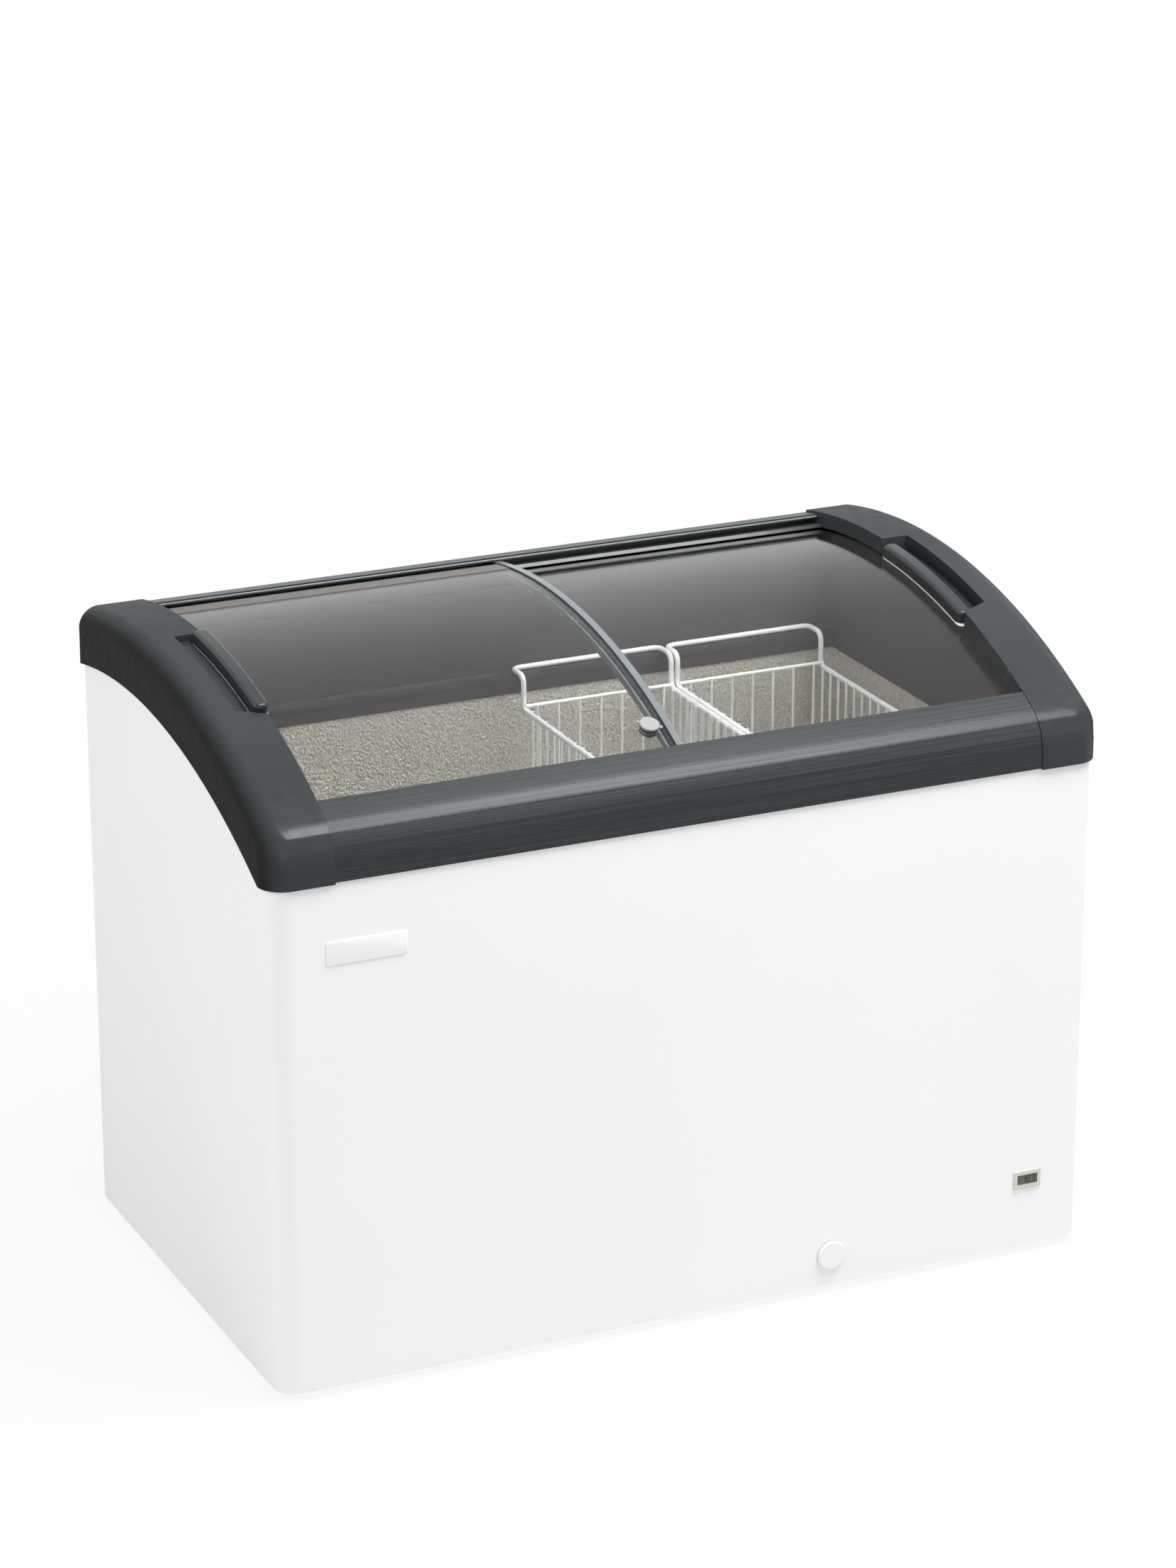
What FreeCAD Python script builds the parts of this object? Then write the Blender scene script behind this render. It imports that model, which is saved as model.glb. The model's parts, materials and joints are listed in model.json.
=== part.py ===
import FreeCAD, Part
import math
import os

Vector = FreeCAD.Vector

# Sliding-lid ice cream freezer. Millimetres, +Z up, X along the width, -Y to the front.
# The origin is on the floor, under the middle of the cabinet.

# Cabinet
BODY_WIDTH = 1200.0
BODY_DEPTH = 690.0
FOOT_HEIGHT = 12.0
FOOT_DIAMETER = 46.0
FOOT_INSET = 75.0
CORNER_RADIUS = 30.0
SHEET = 1.0
RETURN_FLANGE = 18.0
BASE_SHEET = 1.2

# Canopy: every lid, rail and cap follows circles about one axis along X
CROWN_HEIGHT = 913.0
ARC_RADIUS = 980.0
CREST_FROM_REAR = 197.0

# End caps
CAP_WIDTH = 88.0
CAP_WALL = 5.0
CAP_EDGE_ROUND = 25.0
CAP_SKIRT = 80.0
CAP_FRONT_SKIRT = 64.0
SHELL_TUCK = 25.0
NOTCH_REACH = 40.0
NOTCH_FRONT_MARGIN = 6.0
NOTCH_REAR_MARGIN = 8.0
NOTCH_SLANT = 17.0
NOTCH_WALL = 3.0
NOTCH_FLOOR = 1.2
NOTCH_PLAY = 1.2
HANDLE_SLOT = 19.0

# Rails that the lids run in
RAIL_SEAM = 0.4
RAIL_STEP = 1.5
RAIL_DEPTH = 55.0
RAIL_LOWER_STEP = 2.0
RAIL_LIP_RISE = 6.0
DECK_RISE = 39.5
DECK_SHEET = 3.0
RAIL_CHAMBER_WALL = 4.0
REAR_RAIL_DROP = 3.0
REAR_DECK_DROP = 38.0
REAR_LIP_DEPTH = 31.0
REAR_SKIRT = 25.0
TRACK_REACH = 10.0
TRACK_TAIL = 24.0

# Lids
GLASS = 4.0
UPPER_LID_DROP = 11.0
LOWER_LID_DROP = 24.0
LID_OVERLAP = 16.0
LID_TUCK = 28.0
RUNNER_WALL = 1.5
RUNNER_DEPTH = 12.0
RUNNER_BITE = 30.0
RUNNER_PLAY = 0.5
GLAZING_PLAY = 0.1
EDGE_STRIP = 10.0
INTERLOCK_RISE = 3.5
LID_CLEARANCE = 2.0

# Handles on the lids
HANDLE_WIDTH = 22.0
HANDLE_HEIGHT = 18.0
HANDLE_FROM_FRONT = 225.0
HANDLE_LENGTH = 228.0
HANDLE_END_ROUND = 9.0
HANDLE_TOP_ROUND = 5.5
PAD = 1.0
PAD_GAP = 0.35
PAD_MARGIN = 0.6

# Push lock on the upper lid
LOCK_X = -25.0
LOCK_FROM_RAIL = 47.0
LOCK_HEAD = 27.0
LOCK_HEAD_HEIGHT = 3.0
LOCK_EAR = 4.0
LOCK_EAR_TURN = -30.0
LOCK_FLANGE = 25.0
LOCK_FLANGE_HEIGHT = 2.0
LOCK_BODY = 15.6
LOCK_NUT_HEIGHT = 2.0
LOCK_STEM = 8.0
LOCK_TRAVEL = 4.0
LOCK_PLAY = 0.1
LOCK_HEAD_GAP = 4.5

# Inner tank
SIDE_WALL = 74.0
END_WALL = 59.0
LINER = 1.0
FLOOR_HEIGHT = 87.0
STEP_WIDTH = 291.0
STEP_HEIGHT = 225.0
COLLAR_WALL = 4.0
COLLAR_LIP = 2.0
COLLAR_LIP_HEIGHT = 16.0
LEDGE_DEPTH = 15.0
LEDGE_RISE = 15.0
NOSE_HEIGHT = 11.0
UPPER_SETBACK = 11.0

# Wire baskets
BASKET_START = 15.0
BASKET_GAP = 10.0
BASKET_SIDE_GAP = 37.0
BASKET_LEG_INSET = 40.0
BASKET_RIM_DROP = 49.0
BASKET_DEPTH = 230.0
HANGER_WIRE = 8.0
RIM_WIRE = 6.0
GRID_WIRE = 4.0
WELD = 0.6
SIDE_WIRES = 20
END_WIRES = 7
WIRE_BEND = 11.0
SEAT_GAP = 0.3

# Machine compartment under the step
MACHINE_WIDTH = 299.0
MACHINE_HEIGHT = 245.0
HOOD_SHEET = 1.0
PIPE_SLOT = 14.0
CHASE_INSET = 30.0
CHASE_WIDTH = 90.0

# Refrigeration
EVAPORATOR_TUBE = 8.0
COIL_TURNS = 6
COIL_TOP_DROP = 38.0
COIL_LOW_RISE = 66.0
COIL_STEP = 60.0
CONDENSER_TUBE = 6.0
CONDENSER_BEND = 15.0
CONDENSER_RUNS = 6
CONDENSER_PITCH = 70.0
CONDENSER_END_GAP = 24.0
CONDENSER_TAIL = 40.0
TUBE_SETBACK = 27.0
COMPRESSOR_FROM_SIDE = 170.0
COMPRESSOR_Y = 90.0
COMPRESSOR_DIAMETER = 160.0
COMPRESSOR_HEIGHT = 165.0
COMPRESSOR_DOME = 45.0
DOME_FLATS = 4
WELD_SEAM = 0.6
SEAM_LIP = 4.0
MOUNT_HEIGHT = 22.0
MOUNT_DIAMETER = 28.0
MOUNT_SPREAD = 72.0
CARRIER_SHEET = 3.0
BOLT = 8.0
BOLT_LENGTH = 12.0
BOLT_HOLE = 9.0
RELAY_WIDTH = 64.0
RELAY_DEPTH = 38.0
RELAY_TALL = 62.0
RELAY_ROUND = 6.0
STUB_REACH = 32.0
PIPE_RISE = 25.0
PIPE_BEND = 12.0
DRIER_DIAMETER = 18.0
DRIER_LENGTH = 70.0
DRIER_NECK = 14.0
CAPILLARY = 3.0
CAPILLARY_DIP = 30.0
CAPILLARY_SWEEP = 40.0
CAPILLARY_BEND = 10.0

# Front fittings
DRAIN_TO_STEP = 29.0
DRAIN_HEIGHT = 57.0
DRAIN_CAP = 42.0
DRAIN_CAP_DEPTH = 4.0
DRAIN_RIBS = 36
DRAIN_RIB = 1.2
DRAIN_BORE = 18.0
DRAIN_PIPE_WALL = 3.0
DRAIN_LENGTH = 100.0
DRAIN_PLUG = 20.0
PLUG_PLAY = 0.15
SEAL = 1.0
GAUGE_FROM_SIDE = 89.0
GAUGE_HEIGHT = 112.5
GAUGE_WIDTH = 41.0
GAUGE_TALL = 26.0
GAUGE_BEZEL = 3.0
GAUGE_BODY_DEPTH = 18.0
GAUGE_BODY_INSET = 2.5
GAUGE_WINDOW_WIDTH = 31.6
GAUGE_WINDOW_TALL = 15.0
GAUGE_RECESS = 1.2
BADGE_FROM_SIDE = 131.0
BADGE_BELOW_CAP = 94.5
BADGE_WIDTH = 112.0
BADGE_TALL = 32.0
BADGE_THICK = 1.5
BADGE_ROUND = 4.0

# Rear fittings
GRILLE_WIDTH = 236.0
GRILLE_TALL = 206.0
GRILLE_FLANGE = 12.0
GRILLE_DISH = 14.0
GRILLE_SHEET = 1.2
LOUVRE_ROWS = 9
LOUVRE_COLUMNS = 2
LOUVRE_LENGTH = 66.0
LOUVRE_HEIGHT = 7.0
LOUVRE_PITCH = 19.0
KNOB_DIAMETER = 34.0
KNOB_DEPTH = 13.0
KNOB_SHAFT = 6.0
KNOB_BAR = 8.0
SHAFT_HOLE = 8.0
KNOB_GAP = 0.8
SHAFT_PLAY = 0.05
THERMOSTAT_WIDTH = 56.0
THERMOSTAT_TALL = 40.0
THERMOSTAT_DEPTH = 30.0
THERMOSTAT_GAP = 2.5
GLAND_DIAMETER = 20.0
GLAND_BORE = 9.0
GLAND_DEPTH = 11.0
GLAND_NECK = 16.0
GLAND_TAIL = 6.0
GLAND_TAPER = 2.0

# How far a cutting shape runs past the face that it opens
OVERCUT = 1.0

# Places worked out from the sizes above
ARC_Y = BODY_DEPTH / 2 - CREST_FROM_REAR
ARC_Z = CROWN_HEIGHT - ARC_RADIUS
SIDE_X = BODY_WIDTH / 2
FRONT_Y = -BODY_DEPTH / 2
REAR_Y = BODY_DEPTH / 2
CAP_X = SIDE_X - CAP_WIDTH
UPPER_TOP = ARC_RADIUS - UPPER_LID_DROP
LOWER_TOP = ARC_RADIUS - LOWER_LID_DROP
LID_END = CAP_X + LID_TUCK
TANK_X = SIDE_X - SIDE_WALL
TANK_Y = REAR_Y - END_WALL
STEP_X = TANK_X - STEP_WIDTH
STEP_TOP = FLOOR_HEIGHT + STEP_HEIGHT
PAN_TOP = FOOT_HEIGHT + SHEET + BASE_SHEET
HOOD_X = SIDE_X - SHEET - MACHINE_WIDTH
HOOD_TOP = FOOT_HEIGHT + MACHINE_HEIGHT
DRAIN_X = STEP_X - DRAIN_TO_STEP
GAUGE_X = SIDE_X - GAUGE_FROM_SIDE
BADGE_X = BADGE_FROM_SIDE - SIDE_X
COMPRESSOR_X = SIDE_X - COMPRESSOR_FROM_SIDE
HANDLE_FRONT_Y = FRONT_Y + HANDLE_FROM_FRONT
HANDLE_REAR_Y = HANDLE_FRONT_Y + HANDLE_LENGTH
NOTCH_FRONT_Y = HANDLE_FRONT_Y - NOTCH_FRONT_MARGIN
NOTCH_REAR_Y = HANDLE_REAR_Y + NOTCH_REAR_MARGIN
FAR = 2 * (BODY_WIDTH + CROWN_HEIGHT)


def arc_z(y, radius):
    """Height of the canopy circle of that radius at depth y."""
    return ARC_Z + math.sqrt(radius ** 2 - (y - ARC_Y) ** 2)


def arc_point(y, radius, x=0.0):
    return Vector(x, y, arc_z(y, radius))


def arc_edge(radius, y0, y1, x=0.0, drop=0.0):
    """Arc of the canopy circle from depth y0 to depth y1, lowered by drop."""
    down = Vector(0, 0, -drop)
    points = [arc_point(y, radius, x) + down for y in (y0, (y0 + y1) / 2, y1)]
    return Part.Arc(*points).toShape()


def prism(edges, x0, x1):
    """Closed profile in the plane X = x0, drawn out to x1."""
    return Part.Face(Part.Wire(edges)).extrude(Vector(x1 - x0, 0, 0))


def chain(points):
    return [Part.LineSegment(a, b).toShape() for a, b in zip(points, points[1:])]


def box(x0, x1, y0, y1, z0, z1):
    return Part.makeBox(x1 - x0, y1 - y0, z1 - z0, Vector(x0, y0, z0))


def cylinder(diameter, start, end):
    axis = end - start
    return Part.makeCylinder(diameter / 2, axis.Length, start, axis)


def sector(r_in, r_out, y_front, y_rear, x0, x1):
    """Curved slab between two canopy circles, with radial ends."""
    shrink = r_in / r_out
    y_front_in = ARC_Y + (y_front - ARC_Y) * shrink
    y_rear_in = ARC_Y + (y_rear - ARC_Y) * shrink
    outer = arc_edge(r_out, y_front, y_rear, x0)
    inner = arc_edge(r_in, y_rear_in, y_front_in, x0)
    rear = chain([arc_point(y_rear, r_out, x0), arc_point(y_rear_in, r_in, x0)])
    front = chain([arc_point(y_front_in, r_in, x0), arc_point(y_front, r_out, x0)])
    return prism([outer] + rear + [inner] + front, x0, x1)


def under_arc(radius, y0, y1, x0, x1, z_low=0.0, drop=0.0):
    """Block from z_low up to the canopy circle, with upright ends."""
    top = arc_edge(radius, y0, y1, x0, drop)
    rear = top.Vertexes[1].Point
    front = top.Vertexes[0].Point
    low_rear = Vector(x0, y1, z_low)
    low_front = Vector(x0, y0, z_low)
    return prism([top] + chain([rear, low_rear, low_front, front]), x0, x1)


def below_skirt(drop, front_z, x0, x1):
    """Everything under a curve that runs level at the front and then follows the canopy."""
    meet = ARC_Y - math.sqrt(ARC_RADIUS ** 2 - (front_z + drop - ARC_Z) ** 2)
    level = box(x0, x1, FRONT_Y - CAP_WALL - OVERCUT, meet, -FOOT_HEIGHT, front_z)
    curved = under_arc(ARC_RADIUS, meet, REAR_Y + CAP_WALL + OVERCUT, x0, x1, -FOOT_HEIGHT, drop)
    return level.fuse(curved).removeSplitter()


def mirrored(shape):
    """The left-hand twin of a right-hand piece."""
    return shape.mirror(Vector(0, 0, 0), Vector(1, 0, 0))


def cabinet_plan(inset, rear, z):
    """Outline of the cabinet seen from above, drawn in by inset, square at the rear."""
    x = SIDE_X - inset
    y = FRONT_Y + inset
    r = CORNER_RADIUS - inset
    bend = r * (1 - math.sqrt(0.5))
    left = Part.Arc(Vector(-x, y + r, z), Vector(-x + bend, y + bend, z), Vector(-x + r, y, z))
    right = Part.Arc(Vector(x - r, y, z), Vector(x - bend, y + bend, z), Vector(x, y + r, z))
    edges = chain([Vector(-x, rear, z), Vector(-x, y + r, z)]) + [left.toShape()]
    edges += chain([Vector(-x + r, y, z), Vector(x - r, y, z)]) + [right.toShape()]
    edges += chain([Vector(x, y + r, z), Vector(x, rear, z), Vector(-x, rear, z)])
    return Part.Face(Part.Wire(edges))


def on_glass(shape, x, y, radius):
    """Stand a shape, built upright on the origin, on the canopy circle at depth y."""
    lean = math.degrees(math.asin((y - ARC_Y) / radius))
    foot = Vector(x, ARC_Y + radius * math.sin(math.radians(lean)), arc_z(y, radius))
    placed = shape.copy()
    placed.Placement = FreeCAD.Placement(foot, FreeCAD.Rotation(Vector(1, 0, 0), -lean))
    return placed


def wire_corner(diameter, sides=6):
    """Reach of a many-sided wire's corners, at the area of the round wire."""
    return diameter / 2 * math.sqrt(2 * math.pi / (sides * math.sin(2 * math.pi / sides)))


def wire_flat(diameter, sides=6):
    """Reach of a many-sided wire's flats."""
    return wire_corner(diameter, sides) * math.cos(math.pi / sides)


def many_sided(centre, direction, diameter, sides):
    """Polygon section square to a wire's direction."""
    corner = wire_corner(diameter, sides)
    along = Vector(direction)
    along.normalize()
    guide = Vector(0, 0, 1) if abs(along.z) < 0.9 else Vector(1, 0, 0)
    u = along.cross(guide)
    u.normalize()
    v = along.cross(u)
    corners = []
    for i in range(sides + 1):
        turn = 2 * math.pi * (i + 0.5) / sides
        corners.append(centre + (u * math.cos(turn) + v * math.sin(turn)) * corner)
    return Part.makePolygon(corners)


def eased(points, bend):
    """Cut each inner corner of a route back by bend, so that a wire turns in two small steps."""
    route = [points[0]]
    for before, corner, after in zip(points, points[1:], points[2:]):
        back = before - corner
        ahead = after - corner
        cut = min(bend, back.Length / 2.2, ahead.Length / 2.2)
        route.append(corner + back.normalize() * cut)
        route.append(corner + ahead.normalize() * cut)
    route.append(points[-1])
    return route


def wire(points, diameter, bend=0.0, sides=6):
    """Bent wire or tube along straight runs."""
    route = eased(points, bend) if bend else points
    section = many_sided(route[0], route[1] - route[0], diameter, sides)
    return Part.makePolygon(route).makePipeShell([section], True, False, 1)


# Heights of the decks that carry the rails
CAP_LOWER = arc_z(FRONT_Y, ARC_RADIUS) - CAP_FRONT_SKIRT
BADGE_HEIGHT = CAP_LOWER - BADGE_BELOW_CAP
FRONT_DECK = CAP_LOWER + DECK_RISE
REAR_DECK = arc_z(REAR_Y, ARC_RADIUS) - REAR_DECK_DROP
RAIL_REAR = FRONT_Y + RAIL_DEPTH
LOCK_Y = RAIL_REAR + LOCK_FROM_RAIL
LIP_Y = REAR_Y - REAR_LIP_DEPTH
TRACK_Y = LIP_Y - TRACK_REACH
RUNNER_FRONT = RAIL_REAR - RUNNER_BITE
RUNNER_REAR = LIP_Y + TRACK_TAIL - RUNNER_PLAY - RUNNER_WALL
LIP_Z = CAP_LOWER - COLLAR_LIP_HEIGHT
LEDGE_Z = CAP_LOWER + LEDGE_RISE
TANK_RIM = LEDGE_Z - LEDGE_RISE
COLLAR_Y = TANK_Y + UPPER_SETBACK
NOSE_Y = COLLAR_Y - LEDGE_DEPTH
HANDLE_X = CAP_X + HANDLE_SLOT - LID_CLEARANCE
BASKET_WIDTH = (TANK_X - COLLAR_LIP - BASKET_SIDE_GAP - BASKET_GAP - BASKET_START) / 2
COIL_PITCH = (TANK_RIM - COIL_TOP_DROP - STEP_TOP - COIL_LOW_RISE) / (COIL_TURNS - 1)


def make_outer_shell():
    """Painted sheet wrapped round the front and both sides, with folded-in edges."""
    tall = Vector(0, 0, CROWN_HEIGHT)
    wall = cabinet_plan(0, REAR_Y, FOOT_HEIGHT).extrude(tall)
    wall = wall.cut(cabinet_plan(SHEET, REAR_Y + OVERCUT, FOOT_HEIGHT).extrude(tall))
    wall = wall.common(below_skirt(CAP_SKIRT - SHELL_TUCK, FRONT_DECK - DECK_SHEET, -SIDE_X, SIDE_X))
    fold = Vector(0, 0, SHEET)
    foot = cabinet_plan(SHEET, REAR_Y - SHEET, FOOT_HEIGHT).extrude(fold)
    foot = foot.cut(cabinet_plan(SHEET + RETURN_FLANGE, REAR_Y, FOOT_HEIGHT).extrude(fold))
    shell = wall.fuse(foot)
    x = SIDE_X - SHEET
    top = arc_z(REAR_Y, ARC_RADIUS) - CAP_SKIRT
    for x0 in (-x, x - RETURN_FLANGE):
        strip = box(x0, x0 + RETURN_FLANGE, REAR_Y - 2 * SHEET, REAR_Y - SHEET, FOOT_HEIGHT, top)
        shell = shell.fuse(strip)
    mid = Vector(DRAIN_X, FRONT_Y, DRAIN_HEIGHT)
    reach = Vector(0, 2 * SHEET, 0)
    shell = shell.cut(cylinder(DRAIN_BORE + 2 * DRAIN_PIPE_WALL, mid - reach, mid + reach))
    shell = shell.cut(gauge_block(-GAUGE_BODY_INSET, FRONT_Y - OVERCUT, FRONT_Y + 2 * SHEET))
    return shell.removeSplitter()


def make_back_panel():
    """Rear sheet between the folded edges, open behind the machine compartment."""
    x = SIDE_X - SHEET
    panel = box(-x, x, REAR_Y - SHEET, REAR_Y, FOOT_HEIGHT, REAR_DECK - DECK_SHEET)
    hole_x, hole_z = grille_place()
    w = GRILLE_WIDTH / 2
    h = GRILLE_TALL / 2
    hole = box(hole_x - w, hole_x + w, REAR_Y - 2 * SHEET, REAR_Y + OVERCUT, hole_z - h, hole_z + h)
    return panel.cut(hole)


def make_base_pan():
    """Floor plate resting on the folded-in lower edge of the shell."""
    up = Vector(0, 0, BASE_SHEET)
    return cabinet_plan(SHEET, REAR_Y - 2 * SHEET, FOOT_HEIGHT + SHEET).extrude(up)


def make_glide_feet():
    """Four low glides under the base pan, narrower at the floor."""
    feet = []
    x = SIDE_X - FOOT_INSET
    y = REAR_Y - FOOT_INSET
    tall = FOOT_HEIGHT + SHEET
    for sx in (-x, x):
        for sy in (-y, y):
            r = FOOT_DIAMETER / 2
            feet.append(Part.makeCone(r * 0.85, r, tall, Vector(sx, sy, 0)))
    return Part.makeCompound(feet)


def make_inner_liner():
    """Folded aluminium tank, with a step over the machine compartment."""
    def tank(wall, top):
        x = TANK_X + wall
        low = FLOOR_HEIGHT - wall
        step = STEP_TOP - wall
        y = TANK_Y + wall
        points = [Vector(-x, -y, low), Vector(STEP_X + wall, -y, low), Vector(STEP_X + wall, -y, step),
                  Vector(x, -y, step), Vector(x, -y, top), Vector(-x, -y, top), Vector(-x, -y, low)]
        return Part.Face(Part.makePolygon(points)).extrude(Vector(0, 2 * y, 0))

    liner = tank(LINER, TANK_RIM).cut(tank(0, TANK_RIM + OVERCUT))
    drain = Vector(DRAIN_X, FRONT_Y + DRAIN_LENGTH, FLOOR_HEIGHT)
    return liner.cut(cylinder(DRAIN_BORE, drain - Vector(0, 0, 2 * LINER), drain + Vector(0, 0, 1)))


def tank_envelope():
    """The room that the tank takes out of the foam."""
    tank = box(-TANK_X - LINER, TANK_X + LINER, -TANK_Y - LINER, TANK_Y + LINER,
               FLOOR_HEIGHT - LINER, CROWN_HEIGHT)
    step = box(STEP_X + LINER, TANK_X + 2 * LINER, -TANK_Y - 2 * LINER, TANK_Y + 2 * LINER,
               FLOOR_HEIGHT - 2 * LINER, STEP_TOP - LINER)
    return tank.cut(step)


def collar_outside():
    """Outer form of the collar: curved along the sides, level decks front and rear."""
    x = TANK_X + COLLAR_WALL
    y = COLLAR_Y + COLLAR_WALL
    right = under_arc(LOWER_TOP - GLASS - 2 * LID_CLEARANCE, -COLLAR_Y, COLLAR_Y, 0, x, TANK_RIM)
    left = mirrored(under_arc(UPPER_TOP - GLASS - 2 * LID_CLEARANCE, -COLLAR_Y, COLLAR_Y, 0, x, TANK_RIM))
    front = box(-x, x, -y, -COLLAR_Y, TANK_RIM, FRONT_DECK)
    rear = box(-x, x, COLLAR_Y, y, TANK_RIM, REAR_DECK)
    return right.fuse([left, front, rear]).removeSplitter()


def make_liner_collar():
    """Moulded collar between tank and lids, with a ledge that the baskets hang on."""
    side = TANK_X - COLLAR_LIP
    y = TANK_Y - COLLAR_LIP
    high = CROWN_HEIGHT
    collar = collar_outside().fuse(box(-TANK_X, TANK_X, -TANK_Y, TANK_Y, LIP_Z, TANK_RIM))
    nose_low = LEDGE_Z - NOSE_HEIGHT
    collar = collar.cut(box(-side, side, -COLLAR_Y, COLLAR_Y, LEDGE_Z, high))
    collar = collar.cut(box(-side, side, -NOSE_Y, NOSE_Y, nose_low, LEDGE_Z))
    collar = collar.cut(box(-side, side, -y, y, LIP_Z - OVERCUT, nose_low))
    deck_x = TANK_X + COLLAR_WALL
    front = box(-deck_x, deck_x, FRONT_Y, -COLLAR_Y, FRONT_DECK - DECK_SHEET, FRONT_DECK)
    rear = box(-deck_x, deck_x, COLLAR_Y, REAR_Y, REAR_DECK - DECK_SHEET, REAR_DECK)
    return collar.fuse([front, rear]).removeSplitter()


def cap_block(inset, edge_round):
    """Rounded right-hand block under the canopy, drawn in by inset."""
    x0 = CAP_X + inset
    x1 = SIDE_X + CAP_WALL - inset
    y0 = FRONT_Y - CAP_WALL + inset
    y1 = REAR_Y + CAP_WALL - inset
    radius = ARC_RADIUS - inset
    block = under_arc(radius, y0, y1, x0, x1, CAP_LOWER - CAP_SKIRT)
    corner = [e for e in block.Edges
              if all(abs(v.X - x1) < 0.01 and abs(v.Y - y0) < 0.01 for v in e.Vertexes)]
    block = block.makeFillet(CORNER_RADIUS + CAP_WALL - inset, corner)
    rim = []
    for edge in block.Edges:
        mid = edge.valueAt((edge.FirstParameter + edge.LastParameter) / 2)
        on_top = abs(math.hypot(mid.y - ARC_Y, mid.z - ARC_Z) - radius) < 0.05
        if on_top and mid.x > x0 + 1 and mid.y < y1 - 1:
            rim.append(edge)
    return block.makeFillet(edge_round, rim)


def notch_plan(margin, r_low, r_high):
    """Finger notch seen from above, between two canopy circles."""
    deep = CAP_X + NOTCH_REACH + margin
    front = NOTCH_FRONT_Y - margin
    rear = NOTCH_REAR_Y + margin
    x0 = CAP_X if margin else CAP_X - OVERCUT
    slant = [Vector(x0, front, 0), Vector(deep, front + NOTCH_SLANT, 0), Vector(deep, rear, 0),
             Vector(x0, rear, 0), Vector(x0, front, 0)]
    column = Part.Face(Part.makePolygon(slant)).extrude(Vector(0, 0, FAR))
    spread = 1.5 * NOTCH_REACH
    return column.common(sector(r_low, r_high, front - spread, rear + spread, x0 - OVERCUT, deep + OVERCUT))


def make_end_cap(lid_top):
    """Moulded right-hand end cap over the lid whose glass lies at lid_top."""
    cap = cap_block(0, CAP_EDGE_ROUND).cut(cap_block(CAP_WALL, CAP_EDGE_ROUND - CAP_WALL))
    cap = cap.cut(below_skirt(CAP_SKIRT, CAP_LOWER, CAP_X - OVERCUT, SIDE_X + CAP_WALL + OVERCUT))
    x0 = CAP_X - OVERCUT
    x1 = CAP_X + CAP_WALL
    clear = lid_top + LID_CLEARANCE
    cap = cap.cut(under_arc(clear, RAIL_REAR, TRACK_Y, x0, x1))
    cap = cap.cut(box(x0, x1, FRONT_Y, RAIL_REAR, 0, FRONT_DECK))
    cap = cap.cut(box(x0, x1, TRACK_Y, REAR_Y, 0, REAR_DECK))
    slot_low = lid_top - GLASS - LID_CLEARANCE
    cap = cap.cut(sector(slot_low, clear, RUNNER_FRONT - LID_CLEARANCE, RUNNER_REAR + LID_CLEARANCE, x0, x1))
    floor_low = lid_top + NOTCH_PLAY
    pocket = notch_plan(NOTCH_WALL, floor_low, ARC_RADIUS - CAP_WALL / 2)
    cap = cap.fuse(pocket)
    cap = cap.cut(notch_plan(0, floor_low + NOTCH_FLOOR, ARC_RADIUS + OVERCUT))
    open_slot = box(x0, CAP_X + HANDLE_SLOT, NOTCH_FRONT_Y, NOTCH_REAR_Y, 0, CROWN_HEIGHT + OVERCUT)
    cap = cap.cut(open_slot.common(notch_plan(0, floor_low - OVERCUT, ARC_RADIUS + OVERCUT)))
    return cap.removeSplitter()


def lid_groove(lid_top, y_front, y_rear, half):
    """Room for a lid's runner along a rail."""
    low = lid_top - GLASS - RUNNER_WALL - RUNNER_PLAY
    high = lid_top + RUNNER_WALL + RUNNER_PLAY
    return sector(low, high, y_front, y_rear, -half, half)


def make_front_rail():
    """Extruded front rail with a groove for each lid, a hollow chamber and a lip over the ledge."""
    half = CAP_X - RAIL_SEAM
    face = FRONT_Y - CAP_WALL + RAIL_STEP
    low = CAP_LOWER + RAIL_LOWER_STEP
    radius = ARC_RADIUS - RAIL_STEP / 2
    top = arc_edge(radius, face, RAIL_REAR, -half)
    lip = FRONT_DECK + RAIL_LIP_RISE
    points = [top.Vertexes[1].Point, Vector(-half, RAIL_REAR, lip), Vector(-half, -COLLAR_Y, lip),
              Vector(-half, -COLLAR_Y, FRONT_DECK), Vector(-half, FRONT_Y, FRONT_DECK),
              Vector(-half, FRONT_Y, low), Vector(-half, face, low), top.Vertexes[0].Point]
    rail = prism([top] + chain(points), -half, half)
    front_edges = []
    for edge in rail.Edges:
        mid = edge.valueAt((edge.FirstParameter + edge.LastParameter) / 2)
        if abs(mid.x) < 1 and abs(mid.y - face) < 0.01 and mid.z > FRONT_DECK:
            front_edges.append(edge)
    rail = rail.makeFillet(CAP_EDGE_ROUND - RAIL_STEP, front_edges)
    for lid_top in (UPPER_TOP, LOWER_TOP):
        rail = rail.cut(lid_groove(lid_top, RUNNER_FRONT - LID_CLEARANCE, RAIL_REAR + 2 * CAP_WALL, half))
    wall = RAIL_CHAMBER_WALL
    chamber = box(-half, half, FRONT_Y + wall, RUNNER_FRONT - wall, FRONT_DECK + wall, FRONT_DECK + 4 * wall)
    return rail.cut(chamber)


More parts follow.
